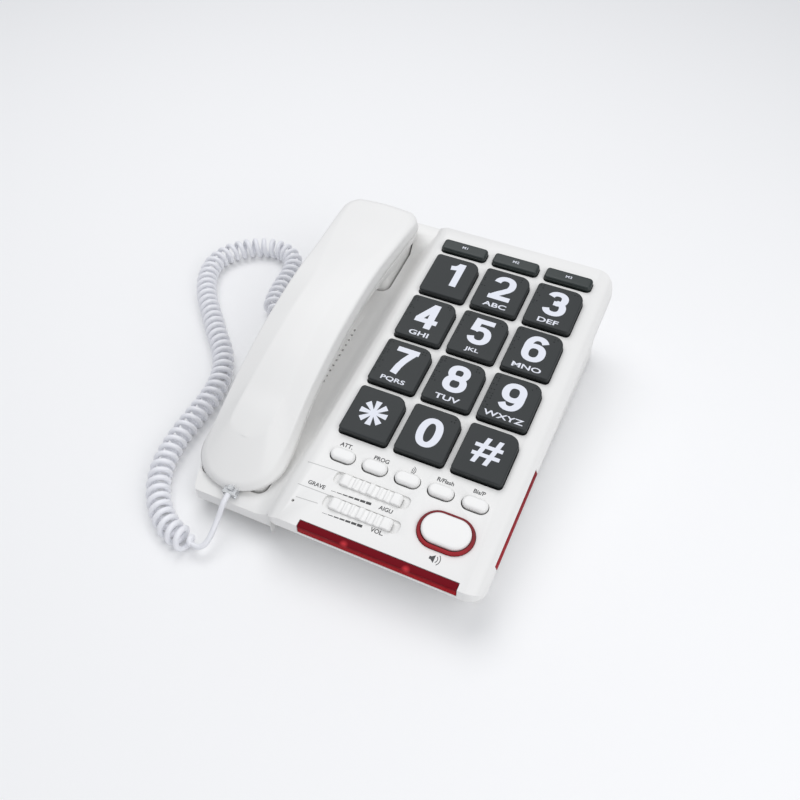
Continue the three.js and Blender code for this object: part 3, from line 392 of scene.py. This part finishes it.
def lettering(name, text, x, s, w, height, weight, stretch=1.0):
    """Characters whose tallest and lowest points are height millimetres apart, centred on x and s.
    weight thickens the strokes and stretch widens the characters."""
    shape = bpy.data.curves.new(name, "FONT")
    shape.body = text
    shape.size = 1.0
    shape.offset = weight
    shape.extrude = 0.01
    shape.resolution_u = 5
    drawn = bpy.data.objects.new(name, shape)
    bpy.context.scene.collection.objects.link(drawn)
    bpy.context.view_layer.update()
    flat = bpy.data.meshes.new_from_object(drawn.evaluated_get(bpy.context.evaluated_depsgraph_get()))
    bpy.data.objects.remove(drawn)
    co = np.zeros(len(flat.vertices) * 3)
    flat.vertices.foreach_get("co", co)
    co = co.reshape(-1, 3)
    co[:, :2] -= (co[:, :2].min(0) + co[:, :2].max(0)) / 2
    scale = height / (np.ptp(co[:, 1]))
    co[:, 0] *= scale * stretch
    co[:, 1] *= scale
    co[:, 2] = np.where(co[:, 2] > 0, INK, -INK)
    placed = on_deck(co + (x, s, w))
    flat.vertices.foreach_set("co", placed.ravel())
    flat.name = name
    flat.update()
    piece = bpy.data.objects.new(name, flat)
    bpy.context.scene.collection.objects.link(piece)
    return piece


# ---------------------------------------------------------------- digit keys
# Twelve big charcoal key caps with a pale digit and letters moulded in, one generous corner, and
# rows of raised dots by the left edge and in the far corner.

key_plastic = plastic("key_charcoal", (0.018, 0.022, 0.023), 0.6, grain=0.12, mottle=0.06)
digit_ink = plastic("pale_print", (0.76, 0.78, 0.85), 0.5, mottle=0.01)

KEY_WIDTH, KEY_DEPTH, KEY_PROUD = 28.6, 31.2, 4.0
KEY_RADII = (2.2, 6.5, 2.2, 2.2)
LETTERS = {
    "1": "", "2": "ABC", "3": "DEF", "4": "GHI", "5": "JKL", "6": "MNO",
    "7": "PQRS", "8": "TUV", "9": "WXYZ", "0": "",
}
LETTERS_DOWN = 11.8  # middle of the letters below the key's middle
DIGIT_UP = 2.2  # middle of a digit above the key's middle, on a key with letters
PEN_WIDE, PEN_TALL = 4.2, 3.3  # widths of upright and of level strokes
HALF_W, HALF_H = 6.9, 9.4  # half of a digit's width and height
REACH_X, REACH_Y = HALF_W - PEN_WIDE / 2, HALF_H - PEN_TALL / 2


def key_outline(inset):
    return rounded_outline(KEY_WIDTH, KEY_DEPTH, KEY_RADII, inset)


def oval(x, y, reach_x, reach_y, start, finish, steps=40, power=1.12):
    """Part of an oval about x, y from one angle to another in degrees: a circle stretched to its two
    reaches, with sine and cosine raised to 1/power so that its sides are fuller."""
    a = np.radians(np.linspace(start, finish, steps))
    c, d = np.cos(a), np.sin(a)
    across = reach_x * np.sign(c) * np.abs(c) ** (1 / power)
    upward = reach_y * np.sign(d) * np.abs(d) ** (1 / power)
    return np.column_stack((x + across, y + upward))


def digit_strokes(digit):
    """The middle lines of a digit's strokes, in millimetres about the digit's middle, each with
    whether it closes on itself."""
    rx, ry = REACH_X, REACH_Y
    if digit == "1":
        flag = [(-4.6, 4.6), (-1.6, 5.1), (0.3, 6.6), (1.0, 7.9)]
        return [([(1.6, -HALF_H), (1.6, HALF_H)], False), (flag, False)]
    if digit == "2":
        bowl = oval(0, ry - 4.6, rx, 4.6, 172, -30)
        down = np.array([(3.6, -0.4), (1.2, -2.5), (-1.6, -4.7), (-3.6, -6.6), (-4.6, -8.2)])
        return [(np.vstack((bowl, down)), False), ([(-HALF_W + 0.1, -ry), (HALF_W - 0.2, -ry)], False)]
    if digit == "3":
        upper = oval(-0.1, ry - 3.8, rx - 0.5, 3.8, 165, -90)
        lower = oval(0, -ry + 4.4, rx, 4.4, 90, -168)
        return [(upper, False), (lower, False), ([(-1.6, 0.35), (0.6, 0.35)], False)]
    if digit == "4":
        stem = [(2.4, -HALF_H), (2.4, HALF_H)]
        bar = [(-HALF_W, -3.9), (HALF_W, -3.9)]
        slant = [(2.0, ry + 0.2), (-rx - 0.4, -3.6)]
        return [(stem, False), (bar, False), (slant, False)]
    if digit == "5":
        bowl = oval(0, -ry + 5.0, rx, 5.0, 138, -166)
        bar = [(-4.2, ry), (HALF_W - 1.0, ry)]
        stem = [(-3.6, HALF_H), (-4.4, 0.0)]
        return [(bar, False), (bowl, False), (stem, False)]
    if digit == "6":
        bowl = oval(0, -ry + 4.9, rx, 4.9, 0, 360)
        over = oval(0.3, 0.6, rx + 0.3, ry - 0.6, 20, 90)[6:]
        down = oval(0.3, 0.6, rx + 0.3, ry - 0.6, 90, 180)[1:]
        back = np.vstack((over, down, [(-rx, -3.4)]))
        return [(bowl[:-1], True), (back[2:], False)]
    if digit == "7":
        leg = [(4.4, ry), (2.4, 4.4), (0.4, 0.6), (-1.2, -3.8), (-2.2, -HALF_H)]
        return [([(-HALF_W + 0.2, ry), (HALF_W - 0.2, ry)], False), (leg, False)]
    if digit == "8":
        upper = oval(0, ry - 3.7, rx - 0.5, 3.7, 0, 360)[:-1]
        lower = oval(0, -ry + 4.2, rx, 4.2, 0, 360)[:-1]
        return [(upper, True), (lower, True)]
    if digit == "9":
        return [(-np.array(points), closed) for points, closed in digit_strokes("6")]
    return [(oval(0, 0, rx, ry, 0, 360, 64)[:-1], True)]


def pen_line(points, closed):
    """A flat ribbon along a line. Its half-width is that of an oval pen, wider across upright strokes
    than across level ones, so each end is cut square."""
    p = np.array(points, float)
    if closed:
        ahead = np.roll(p, -1, 0) - np.roll(p, 1, 0)
    else:
        ahead = np.gradient(p, axis=0)
    ahead = ahead / np.linalg.norm(ahead, axis=1, keepdims=True)
    sideways = np.column_stack((-ahead[:, 1], ahead[:, 0]))
    half = np.hypot(PEN_WIDE / 2 * sideways[:, 0], PEN_TALL / 2 * sideways[:, 1])[:, None]
    return p - sideways * half, p + sideways * half


def moulded_digit(name, digit, x, s):
    """A digit as flat ribbons of its strokes, each a hair higher than the one before where they cross."""
    verts, faces = [], []
    for step, (points, closed) in enumerate(digit_strokes(digit)):
        right, left = pen_line(points, closed)
        top = INK + 0.02 * step
        count = len(right)
        first = len(verts)
        for edge, level in ((right, -INK), (left, -INK), (left, top), (right, top)):
            verts += [(x + a, s + b, KEY_PROUD + level) for a, b in edge]
        for band in range(4):
            this, following = first + band * count, first + (band + 1) % 4 * count
            for i in range(count if closed else count - 1):
                j = (i + 1) % count
                faces.append([this + i, following + i, following + j, this + j])
        if not closed:
            faces.append([first + k * count for k in (3, 2, 1, 0)])
            faces.append([first + k * count + count - 1 for k in range(4)])
    return mesh_piece(name, on_deck(verts), faces, smooth=False)


def dots(name, places, w, radius=0.42, height=0.32):
    """Low round bumps at the given x, s places: each is a spherical cap of two rings and a top."""
    turn = np.linspace(0, 2 * np.pi, 10, endpoint=False)
    verts, faces = [], []
    for x, s in places:
        first = len(verts)
        for reach, rise in ((1.0, -0.05), (0.85, 0.55 * height), (0.5, 0.9 * height)):
            r = reach * radius
            verts += [(x + r * math.cos(a), s + r * math.sin(a), w + rise) for a in turn]
        verts.append((x, s, w + height))
        faces += [[first + i for i in f] for f in grid_faces(3, 10)]
        faces += [[first + 20 + i, first + 20 + (i + 1) % 10, first + 30] for i in range(10)]
        faces.append([first + i for i in range(10)][::-1])
    return mesh_piece(name, on_deck(verts), faces)


# Braille cells as dot numbers: 1, 2, 3 down the left column and 4, 5, 6 down the right one.
BRAILLE = {
    "2": "12", "3": "14", "4": "145", "5": "15", "6": "124", "7": "1245", "8": "125", "9": "24",
    "0": "245",
    "A": "1", "B": "12", "C": "14", "D": "145", "E": "15", "F": "124", "G": "1245", "H": "125",
    "I": "24", "J": "245", "K": "13", "L": "123", "M": "134", "N": "1345", "O": "135",
    "P": "1234", "Q": "12345", "R": "1235", "S": "234", "T": "2345", "U": "136", "V": "1236",
    "W": "2456", "X": "1346", "Y": "13456", "Z": "1356",
}
CELL_PITCH = 1.75


def braille_cell(letter, x, s):
    """Places of one cell's dots; the cell's first dot is at x, s."""
    slots = [divmod(int(n) - 1, 3) for n in BRAILLE[letter]]
    return [(x + CELL_PITCH * column, s - CELL_PITCH * row) for column, row in slots]


for node in [f"key_{digit}" for digit in LETTERS] + ["key_star", "key_hash"]:
    digit = node[4:]
    x, s = deck_place(node)
    rings = [(0.0, -2.0)] + rounded_rim(KEY_PROUD, 0.8) + [(1.6, KEY_PROUD)]
    cap = stacked(node + "_cap", x, s, key_outline, rings)
    wear(cap, key_plastic, node)
    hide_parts(node)
    letters = LETTERS.get(digit, "")
    if digit == "hash":
        mark = lettering("key_hash_mark", "#", x + 0.3, s + 0.6, KEY_PROUD, 16.5, 0.016, 1.12)
        wear(mark, digit_ink, node)
    elif digit != "star":
        aside = 2.4 if digit == "1" else 0.4
        raised = DIGIT_UP if letters or digit == "1" else 0.0
        wear(moulded_digit(node + "_digit", digit, x + aside, s + raised), digit_ink, node)
    if letters:
        below = s - LETTERS_DOWN
        print_below = lettering(node + "_letters", letters, x + 0.2, below, KEY_PROUD, 3.4, 0.018, 1.6)
        wear(print_below, digit_ink, node)
    places = []
    for i, letter in enumerate(letters):
        places += braille_cell(letter, x - 12.6, s + 13.4 - 6.3 * i)
    if digit in BRAILLE:
        places += braille_cell(digit, x + 8.6, s + 12.8)
    if places:
        wear(dots(node + "_dots", places, KEY_PROUD), key_plastic, node)

star_x, star_s = deck_place("key_star")
STAR_ARMS = 8
STAR_REACH, STAR_HALF_TIP, STAR_HALF_ROOT = 8.0, 1.75, 0.55
star_verts, star_faces = [], []
for i in range(STAR_ARMS):
    heading = 2 * math.pi * i / STAR_ARMS
    forth = np.array((math.cos(heading), math.sin(heading)))
    sideways = np.array((-forth[1], forth[0]))
    arm = [
        -STAR_HALF_ROOT * sideways,
        STAR_REACH * forth - STAR_HALF_TIP * sideways,
        STAR_REACH * forth + STAR_HALF_TIP * sideways,
        STAR_HALF_ROOT * sideways,
    ]
    first = len(star_verts)
    for level in (KEY_PROUD - INK, KEY_PROUD + INK + 0.01 * i):
        star_verts += [(star_x + p[0], star_s + p[1], level) for p in arm]
    star_faces += [[first + k for k in f] for f in grid_faces(2, 4)]
    star_faces += [[first + k for k in (3, 2, 1, 0)], [first + 4 + k for k in range(4)]]
star_mark = mesh_piece("key_star_mark", on_deck(star_verts), star_faces, smooth=False)
wear(star_mark, digit_ink, "key_star")

# ---------------------------------------------------------------- memory keys
# Three slim near-black bars along the back of the keypad, each with a small white mark.

memory_plastic = plastic("memory_black", (0.016, 0.024, 0.023), 0.42, grain=0.08, mottle=0.05)
for i in (1, 2, 3):
    node = f"memory_key_{i}"
    x, s = deck_place(node)
    bar = stacked(
        node + "_bar", x, s, lambda inset: rounded_outline(29.0, 8.6, (2.0, 2.6, 2.0, 2.0), inset),
        [(0.0, -2.0)] + rounded_rim(3.4, 1.3) + [(2.1, 3.4)],
    )
    wear(bar, memory_plastic, node)
    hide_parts(node)
    mark = lettering(node + "_mark", f"M{i}", x, s + 0.2, 3.4, 1.9, 0.01, 1.25)
    wear(mark, digit_ink, node)

# ---------------------------------------------------------------- function buttons
# Five small white buttons with round ends and soft tops, and a big one that turns the
# loudspeaker on.

button_abs = plastic("button_abs", (0.86, 0.855, 0.84), 0.36, grain=0.03, mottle=0.012)
FUNCTION_NAMES = ["mute_button", "program_button", "ringer_button", "recall_button", "redial_button"]


def stadium_piece(name, node, width, depth, top, rim):
    """A button with half-round ends whose top edge is a quarter round of radius rim."""
    x, s = deck_place(node)
    radius = depth / 2 - 0.02
    rings = [(0.0, -1.6)] + rounded_rim(top, rim, 7) + [(rim + 0.5, top + 0.02)]
    piece = stacked(name, x, s, lambda inset: rounded_outline(width, depth, (radius,) * 4, inset, 12), rings)
    wear(piece, button_abs, node)
    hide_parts(node)
    return piece


for node in FUNCTION_NAMES:
    stadium_piece(node + "_cap", node, 14.0, 7.6, 2.2, 1.7)
stadium_piece("speaker_button_cap", "speaker_button", 26.4, 17.2, 3.0, 1.4)

# ---------------------------------------------------------------- light ring and lenses
# Red translucent polycarbonate: a ring round the loudspeaker button, a bar along the front edge
# and a strip in the right side, which flash when the phone rings.


def red_lens(name, dark, bright, low, high, spots=()):
    """Deep red plastic with painted light and shade: bright below the height low, where light leaves
    it, dark above the height high, blended between, and a painted glow at each spot, where a lamp stands
    behind."""
    made = plastic(name, bright, 0.6, grain=0.02)
    nodes, links = made.node_tree.nodes, made.node_tree.links
    shader = nodes["Principled BSDF"]
    shader.inputs["Specular IOR Level"].default_value = 0.12
    place = nodes.new("ShaderNodeTexCoord")
    split = nodes.new("ShaderNodeSeparateXYZ")
    links.new(place.outputs["Object"], split.inputs["Vector"])
    # Painted light and shade: the colour turns from bright to dark as the height rises from low to high.
    painted_light_ramp = nodes.new("ShaderNodeMapRange")
    painted_light_ramp.inputs["From Min"].default_value = low
    painted_light_ramp.inputs["From Max"].default_value = high
    links.new(split.outputs["Z"], painted_light_ramp.inputs["Value"])
    body = nodes.new("ShaderNodeMix")
    body.data_type = "RGBA"
    body.inputs["A"].default_value = (*bright, 1)
    body.inputs["B"].default_value = (*dark, 1)
    links.new(painted_light_ramp.outputs["Result"], body.inputs["Factor"])
    color = body.outputs["Result"]
    for spot in spots:
        # A painted glow of the lamp behind, strongest within 0.6 mm of the spot and gone by 2.6 mm.
        reach = nodes.new("ShaderNodeVectorMath")
        reach.operation = "DISTANCE"
        reach.inputs[1].default_value = spot
        links.new(place.outputs["Object"], reach.inputs[0])
        painted_glow = nodes.new("ShaderNodeMapRange")
        painted_glow.inputs["From Min"].default_value = 0.6 * MM
        painted_glow.inputs["From Max"].default_value = 2.6 * MM
        painted_glow.inputs["To Min"].default_value = 0.8
        painted_glow.inputs["To Max"].default_value = 0.0
        links.new(reach.outputs["Value"], painted_glow.inputs["Value"])
        add = nodes.new("ShaderNodeMix")
        add.data_type = "RGBA"
        add.inputs["B"].default_value = (0.62, 0.04, 0.05, 1)
        links.new(painted_glow.outputs["Result"], add.inputs["Factor"])
        links.new(color, add.inputs["A"])
        color = add.outputs["Result"]
    links.new(color, shader.inputs["Base Color"])
    return made


# Spots on the front bar, in front of each indicator lamp, where a painted glow is put into its colour.
painted_glow_spots = []
for name in ("indicator_lamp_left", "indicator_lamp_right"):
    low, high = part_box(name)
    painted_glow_spots.append(((low.x + high.x) / 2, low.y - 3.2 * MM, high.z + 1.6 * MM))

ring_low, ring_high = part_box("speaker_light_ring")
# Painted light and shade on the ring: bright where it is lowest, dark where it is highest.
ring_red = red_lens("ring_red", (0.2, 0.03, 0.035), (0.62, 0.02, 0.03), ring_low.z, ring_high.z)
ring_x, ring_s = deck_place("speaker_light_ring")
RING_WIDTH, RING_DEPTH, RING_BAND = 30.4, 21.2, 1.85
RING_PER_CORNER = 14
RING_COUNT = 4 * RING_PER_CORNER


def ring_outline(inset):
    return rounded_outline(RING_WIDTH, RING_DEPTH, (RING_DEPTH / 2 - 0.02,) * 4, inset, RING_PER_CORNER)


ring_rows = [
    (0.0, -1.4), (0.0, 1.1), (0.15, 1.45), (0.5, 1.7), (0.95, 1.75), (1.4, 1.65), (1.7, 1.35),
    (RING_BAND, 1.0), (RING_BAND, -1.4),
]
ring_layers = []
for inset, w in ring_rows:
    ring_layers.append(np.column_stack((ring_outline(inset) + (ring_x, ring_s), np.full(RING_COUNT, w))))
ring_faces = grid_faces(len(ring_rows), RING_COUNT)
last_row = (len(ring_rows) - 1) * RING_COUNT
for a in range(RING_COUNT):
    b = (a + 1) % RING_COUNT
    ring_faces.append([b, a, a + last_row, b + last_row])
light_ring = mesh_piece("light_ring", on_deck(np.vstack(ring_layers)), ring_faces)
wear(light_ring, ring_red, "base")
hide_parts("speaker_light_ring")

front_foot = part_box("front_lens")[0].z
# Painted light on the front bar: bright up to 2.6 mm above its foot, dark from 4.6 mm up, blended between,
# with the painted lamp glows.
front_band = (front_foot + 2.6 * MM, front_foot + 4.6 * MM)
front_red = red_lens("front_red", (0.16, 0.0, 0.006), (0.34, 0.001, 0.006), *front_band, painted_glow_spots)
wear(moulded("front_lens", "front_light_bar", 0.3 * MM), front_red, "base")
side_low, side_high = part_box("side_lens")
# Painted light and shade on the side strip: bright at its bottom, dark at its top.
side_red = red_lens("side_red", (0.2, 0.004, 0.012), (0.36, 0.008, 0.016), side_low.z, side_high.z)
wear(moulded("side_lens", "side_light_strip", 0.25 * MM), side_red, "base")
lamp_red = plastic("lamp_red", (0.4, 0.01, 0.015), 0.15)
for name in ("indicator_lamp_left", "indicator_lamp_right"):
    wear(frame["nodes"][name], lamp_red)

# ---------------------------------------------------------------- sliders
# Two white thumb sliders, for tone and for volume, that run in shallow tracks. Each has a raised
# bar in the middle, two ribs either side and blocks at both ends.


def slider_thumb(node, name):
    """A bar whose height is a function of its length: a flat with ribs, each rib a smooth hump."""
    x, s = deck_place(node)
    low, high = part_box(node)
    length = (high.x - low.x) / MM
    u = np.linspace(-length / 2, length / 2, 241)
    middle, rib = 1.4, 0.8

    def hump(centre, half, rise, soft):
        up, down = np.tanh((u - centre + half) / soft), np.tanh((u - centre - half) / soft)
        return rise * (0.5 * (up - down))

    height = 1.25 + hump(0, middle, 1.2, 0.25)
    for side in (-1, 1):
        height = height + hump(side * 5.0, rib, 0.75, 0.22) + hump(side * 9.0, rib, 0.75, 0.22)
        height = height + hump(side * 15.3, 3.2, 0.95, 0.3)
    end = np.clip((length / 2 - np.abs(u)) / 2.2, 0, 1)
    taper = np.sqrt(1 - (1 - end) ** 2)
    half_depth = np.maximum(3.3 * (0.55 + 0.45 * taper), 0.3)
    height = -0.6 + (height + 0.6) * (0.35 + 0.65 * taper)
    profile = np.array([
        (-1, -0.9), (-1, -0.2), (-1, 0.72), (-0.97, 0.88), (-0.9, 0.97), (-0.8, 1.0),
        (0.8, 1.0), (0.9, 0.97), (0.97, 0.88), (1, 0.72), (1, -0.2), (1, -0.9),
    ])
    across = profile[None, :, 0] * half_depth[:, None]
    lift = np.where(profile[None, :, 1] > 0, profile[None, :, 1] * height[:, None], profile[None, :, 1])
    verts = np.stack((np.broadcast_to(u[:, None] + x, across.shape), across + s, lift), -1).reshape(-1, 3)
    rows, columns = across.shape
    faces = grid_faces(rows, columns)
    faces += [list(range(columns)), [(rows - 1) * columns + i for i in range(columns)][::-1]]
    faces = [f[::-1] for f in faces]
    piece = mesh_piece(name, on_deck(verts), faces)
    wear(piece, button_abs, node)
    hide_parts(node)


slider_thumb("tone_slider", "tone_thumb")
slider_thumb("volume_slider", "volume_thumb")

# ---------------------------------------------------------------- printed labels and engraved lines
# Small dark grey words above the buttons and sliders, rows of dashes that grow with the level, a
# loudspeaker sign and a ringing sign; and three thin grey strips left of the sliders, painted shade for
# engraved lines.

label_ink = plastic("label_ink", (0.06, 0.06, 0.062), 0.6, mottle=0.02)
LABELS = [
    ("label_mute", "ATT.", -10.25, 52.8, 2.4), ("label_program", "PROG", 11.15, 52.0, 2.3),
    ("label_recall", "R/Flash", 47.65, 53.0, 2.3), ("label_redial", "Bis/P", 66.25, 53.7, 2.3),
    ("label_low", "GRAVE", -14.15, 25.3, 2.2), ("label_high", "AIGU", 25.65, 26.1, 2.2),
    ("label_volume", "VOL.", 26.75, 13.2, 2.3),
]
LABEL_SCALE = 1.08
for name, words, x, s, tall in LABELS:
    wear(lettering(name, words, x, s, 0.0, tall * LABEL_SCALE, 0.02), label_ink, "base")


def strips(name, bars):
    """Flat rectangles on the deck, each from one point to another with its own width."""
    verts, faces = [], []
    for (x0, s0), (x1, s1), wide in bars:
        forth = np.array((x1 - x0, s1 - s0))
        sideways = np.array((-forth[1], forth[0])) / np.linalg.norm(forth) * wide / 2
        corners = [(x0, s0) - sideways, (x1, s1) - sideways, (x1, s1) + sideways, (x0, s0) + sideways]
        first = len(verts)
        for level in (-INK, INK):
            verts += [(c[0], c[1], level) for c in corners]
        faces += [[first + k for k in f] for f in grid_faces(2, 4)]
        faces += [[first + k for k in (3, 2, 1, 0)], [first + 4 + k for k in range(4)]]
    return mesh_piece(name, on_deck(verts), faces, smooth=False)


def level_dashes(name, start, finish):
    """Seven dashes in a row from start to finish, each wider than the last."""
    start, finish = np.array(start), np.array(finish)
    bars = []
    for i in range(7):
        a, b = (i + 0.04) / 7, (i + 0.9) / 7
        bars.append((start + a * (finish - start), start + b * (finish - start), 0.18 + 0.22 * i))
    wear(strips(name, bars), label_ink, "base")


# Mid grey strips of painted shade where the three engraved lines run.
painted_groove_shade = plastic("painted_groove_shade", (0.55, 0.55, 0.54), 0.6, mottle=0.01)
steps = [
    ((-25.15, 35.9), (-5.15, 36.9), 0.45),
    ((-23.75, 22.0), (-4.75, 22.2), 0.45),
    ((-21.05, 14.8), (-8.6, 15.7), 0.45),
]
wear(strips("engraved_line_shade", steps), painted_groove_shade, "base")
level_dashes("tone_dashes", (-5.65, 25.0), (17.65, 26.0))
level_dashes("volume_dashes", (-4.05, 11.8), (18.95, 12.8))

SIGN_X, SIGN_S = 59.2, 10.8
sign = [(-2.6, -0.8), (-1.6, -0.8), (0.2, -2.2), (0.2, 2.2), (-1.6, 0.8), (-2.6, 0.8)]
sign_verts = [(SIGN_X + a, SIGN_S + b, level) for level in (-INK, INK) for a, b in sign]
sign_faces = grid_faces(2, 6) + [[5, 4, 3, 2, 1, 0], [6, 7, 8, 9, 10, 11]]
sign_piece = mesh_piece("loudspeaker_sign", on_deck(sign_verts), sign_faces, smooth=False)
wear(sign_piece, label_ink, "base")


def arcs(name, x, s, radii, spread, wide):
    """Thin arcs about a point, each drawn as short strips between even angles."""
    bars = []
    for radius in radii:
        angles = np.radians(np.linspace(-spread, spread, 11))
        points = np.column_stack((x + radius * np.cos(angles), s + radius * np.sin(angles)))
        bars += [(points[i], points[i + 1], wide) for i in range(10)]
    return strips(name, bars)


waves = arcs("loudspeaker_sign_waves", SIGN_X - 0.4, SIGN_S, (2.2, 3.6), 48, 0.38)
wear(waves, label_ink, "base")
ringing = arcs("ringing_sign", 28.05, 52.3, (0.8, 1.7, 2.6), 70, 0.34)
wear(ringing, label_ink, "base")

# ---------------------------------------------------------------- handset
# A hollow white handset of two ABS shells that meet halfway up its sides. The back has a flat that
# widens towards the ear end, between sloping shoulders, and the ends are round.


def eased(points, window=9.0):
    """A function of s that follows the straight lines between the points, averaged over a window so
    that its bends are smooth."""
    at, value = np.array(points, float).T
    offsets = np.linspace(-window, window, 15)
    share = np.cos(offsets / window * np.pi / 2)
    share = share / share.sum()
    return lambda s: (np.interp(np.asarray(s)[..., None] + offsets, at, value) * share).sum(-1)


HANDSET_X, NOSE_TIP, EAR_END = -63.2, 8.2, 219.5
flat_height = eased([
    (8, -3.5), (13, -1.2), (28, 3.6), (50, 9.8), (60, 11.2), (70, 14), (85, 17.5), (100, 20),
    (115, 22), (130, 22.2), (145, 21.6), (160, 20.2), (175, 18.4), (190, 17), (208, 14.8), (222, 13.6),
])
edge_height = eased([
    (8, -5.6), (20, -4.4), (28, -3.2), (40, 0.3), (50, 4.3), (60, 7.8), (70, 10.8), (85, 14.3),
    (100, 17.3), (115, 18.8), (130, 19.8), (145, 20.2), (160, 19), (175, 17.5), (190, 16),
    (200, 14.6), (208, 13.2), (222, 11.8),
])
parting_height = eased([
    (8, -9), (28, -8.6), (52, -4), (85, 6), (115, 11), (145, 12), (190, 8), (220, 6),
])
widest = eased([(8, 26), (38, 26), (62, 23.6), (165, 23.6), (205, 25.8), (220, 26)])
flat_half = eased([
    (20, 11.6), (60, 11.8), (70, 11.2), (100, 10), (130, 9.8), (145, 10.2), (160, 14), (175, 17),
    (190, 19.5), (210, 22),
])
side_tuck = eased([(8, 4.6), (30, 4.4), (60, 1.2), (220, 0.8)])
HANDSET_STEPS = 150
END_ROUND = 1.4  # over which the outline closes at the ear end


def plan(tip, end, full, nose=24.0, ear=13.0):
    """One side of a round-ended outline, as s and half-width: s runs from tip to end with close steps
    at both, and the half-width is full, rounded by a nose arc and by ear-end corners."""
    t = np.linspace(0, np.pi, HANDSET_STEPS)
    s = (tip + end) / 2 - (end - tip) / 2 * np.cos(t)
    half = full(s)
    into_nose = np.clip((tip + nose - s) / nose, 0, 1)
    into_ear = np.clip((s - (end - ear)) / ear, 0, 1)
    half = half * np.sqrt(np.maximum(0, 1 - into_nose**2.15))
    half = half - np.minimum(half, ear * (1 - np.sqrt(np.maximum(0, 1 - into_ear**2))))
    close = np.sqrt(np.clip((end - s) / END_ROUND, 0, 1))
    return s, half * np.where(s > end - END_ROUND, close, 1.0)


def corner(a, b, c, near, far, steps):
    """A quadratic curve that leaves the line a to b near its end and joins b to c, for arrays of
    points. near and far are how much of each line it takes up, as lengths."""
    into, out = b - a, c - b
    long_in = np.maximum(np.linalg.norm(into, axis=1, keepdims=True), 1e-6)
    long_out = np.maximum(np.linalg.norm(out, axis=1, keepdims=True), 1e-6)
    start = b - into / long_in * np.minimum(near, 0.49 * long_in)
    finish = b + out / long_out * np.minimum(far, 0.49 * long_out)
    t = np.linspace(0, 1, steps)[:, None, None]
    return (1 - t) ** 2 * start + 2 * t * (1 - t) * b + t**2 * finish


def closed_shell(name, rails):
    """A skin through rows of rail points on the right side, mirrored to the left about the handset's
    middle, with the two halves joined where they meet."""
    right = np.vstack([r if r.ndim == 3 else r[None] for r in rails])
    rows, count = right.shape[:2]
    left = right[:, ::-1] * (-1, 1, 1)
    loop = np.concatenate((right, left[:, 1:-1]), 1)
    loop = loop + (HANDSET_X, 0, 0)
    columns = loop.shape[1]
    piece = mesh_piece(name, on_deck(loop.reshape(-1, 3)), grid_faces(rows, columns))
    work = bmesh.new()
    work.from_mesh(piece.data)
    bmesh.ops.remove_doubles(work, verts=work.verts, dist=0.005 * MM)
    bmesh.ops.recalc_face_normals(work, faces=work.faces)
    work.to_mesh(piece.data)
    work.free()
    piece.data.polygons.foreach_set("use_smooth", np.full(len(piece.data.polygons), True))
    return piece


def rail(s, half, height):
    """Points of one rail from its own s, half-width and height."""
    return np.column_stack((half, s, height))


s_low, half_low = plan(NOSE_TIP, EAR_END, widest)
parting = rail(s_low, half_low, parting_height(s_low))
s_edge, half_edge = plan(
    NOSE_TIP + 1.6, EAR_END - 0.6, lambda s: widest(s) - side_tuck(s), nose=22.0
)
edge = rail(s_edge, half_edge, edge_height(s_edge))
s_flat, half_flat = plan(34.0, EAR_END - 4.0, flat_half, nose=9.0, ear=11.0)
flat = rail(s_flat, half_flat, flat_height(s_flat))
spine = rail(s_flat, 0 * half_flat, flat_height(s_flat) + 0.35)
upper_rails = [
    rail(s_low, np.maximum(half_low - 1.6, 0), parting_height(s_low) - 0.6),
    rail(s_low, np.maximum(half_low - 0.5, 0), parting_height(s_low) - 0.1),
    parting + (0, 0, 0.25),
    parting + (edge - parting) * 0.33,
    corner(parting, edge, flat, 1.8, 2.2, 9),
    corner(edge, flat, spine, 1.6, 1.4, 7),
    flat + (spine - flat) * 0.75,
    spine,
]
handset_back = closed_shell("handset_back", upper_rails)
wear(handset_back, casing_abs, "handset")
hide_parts("handset_upper_shell")
wear(moulded("handset_lower_shell", "handset_front", 0.5 * MM, 38), casing_abs, "handset")

# ---------------------------------------------------------------- inner pieces
# What the casings hold: a circuit board on which a rubber mat of domes lies under the keys, slide
# resistors, the hook switch, a loudspeaker and a steel weight, and in the handset its capsules.

rubber_mat = plastic("rubber_grey", (0.11, 0.11, 0.115), 0.8, grain=0.2, mottle=0.08)
board_green = plastic("board_green", (0.02, 0.14, 0.06), 0.4, grain=0.04, mottle=0.12)
black_moulding = plastic("black_moulding", (0.02, 0.02, 0.022), 0.45, grain=0.08, mottle=0.05)


def bare_steel(name, color, roughness):
    """Drawn steel: full metal whose roughness drifts, with a faint grain."""
    made = plastic(name, color, roughness, grain=0.08, mottle=0.06)
    made.node_tree.nodes["Principled BSDF"].inputs["Metallic"].default_value = 1.0
    return made


zinc_steel = bare_steel("zinc_steel", (0.55, 0.56, 0.58), 0.35)
FINISHES = {
    rubber_mat: ("keypad_rubber_mat", "foot_front_left", "foot_front_right", "foot_back_left",
                 "foot_back_right"),
    board_green: ("main_circuit_board",),
    black_moulding: ("tone_potentiometer", "volume_potentiometer", "hook_switch", "line_jack",
                     "handset_cord_jack", "handset_jack", "receiver_capsule", "microphone_capsule"),
    zinc_steel: ("loudspeaker", "casing_screw_front_left", "casing_screw_front_right",
                 "casing_screw_back_left", "casing_screw_back_right", "ballast_plate", "handset_weight"),
    button_abs: ("hook_plunger",),
}
for finish, nodes in FINISHES.items():
    for node in nodes:
        wear(frame["nodes"][node], finish)
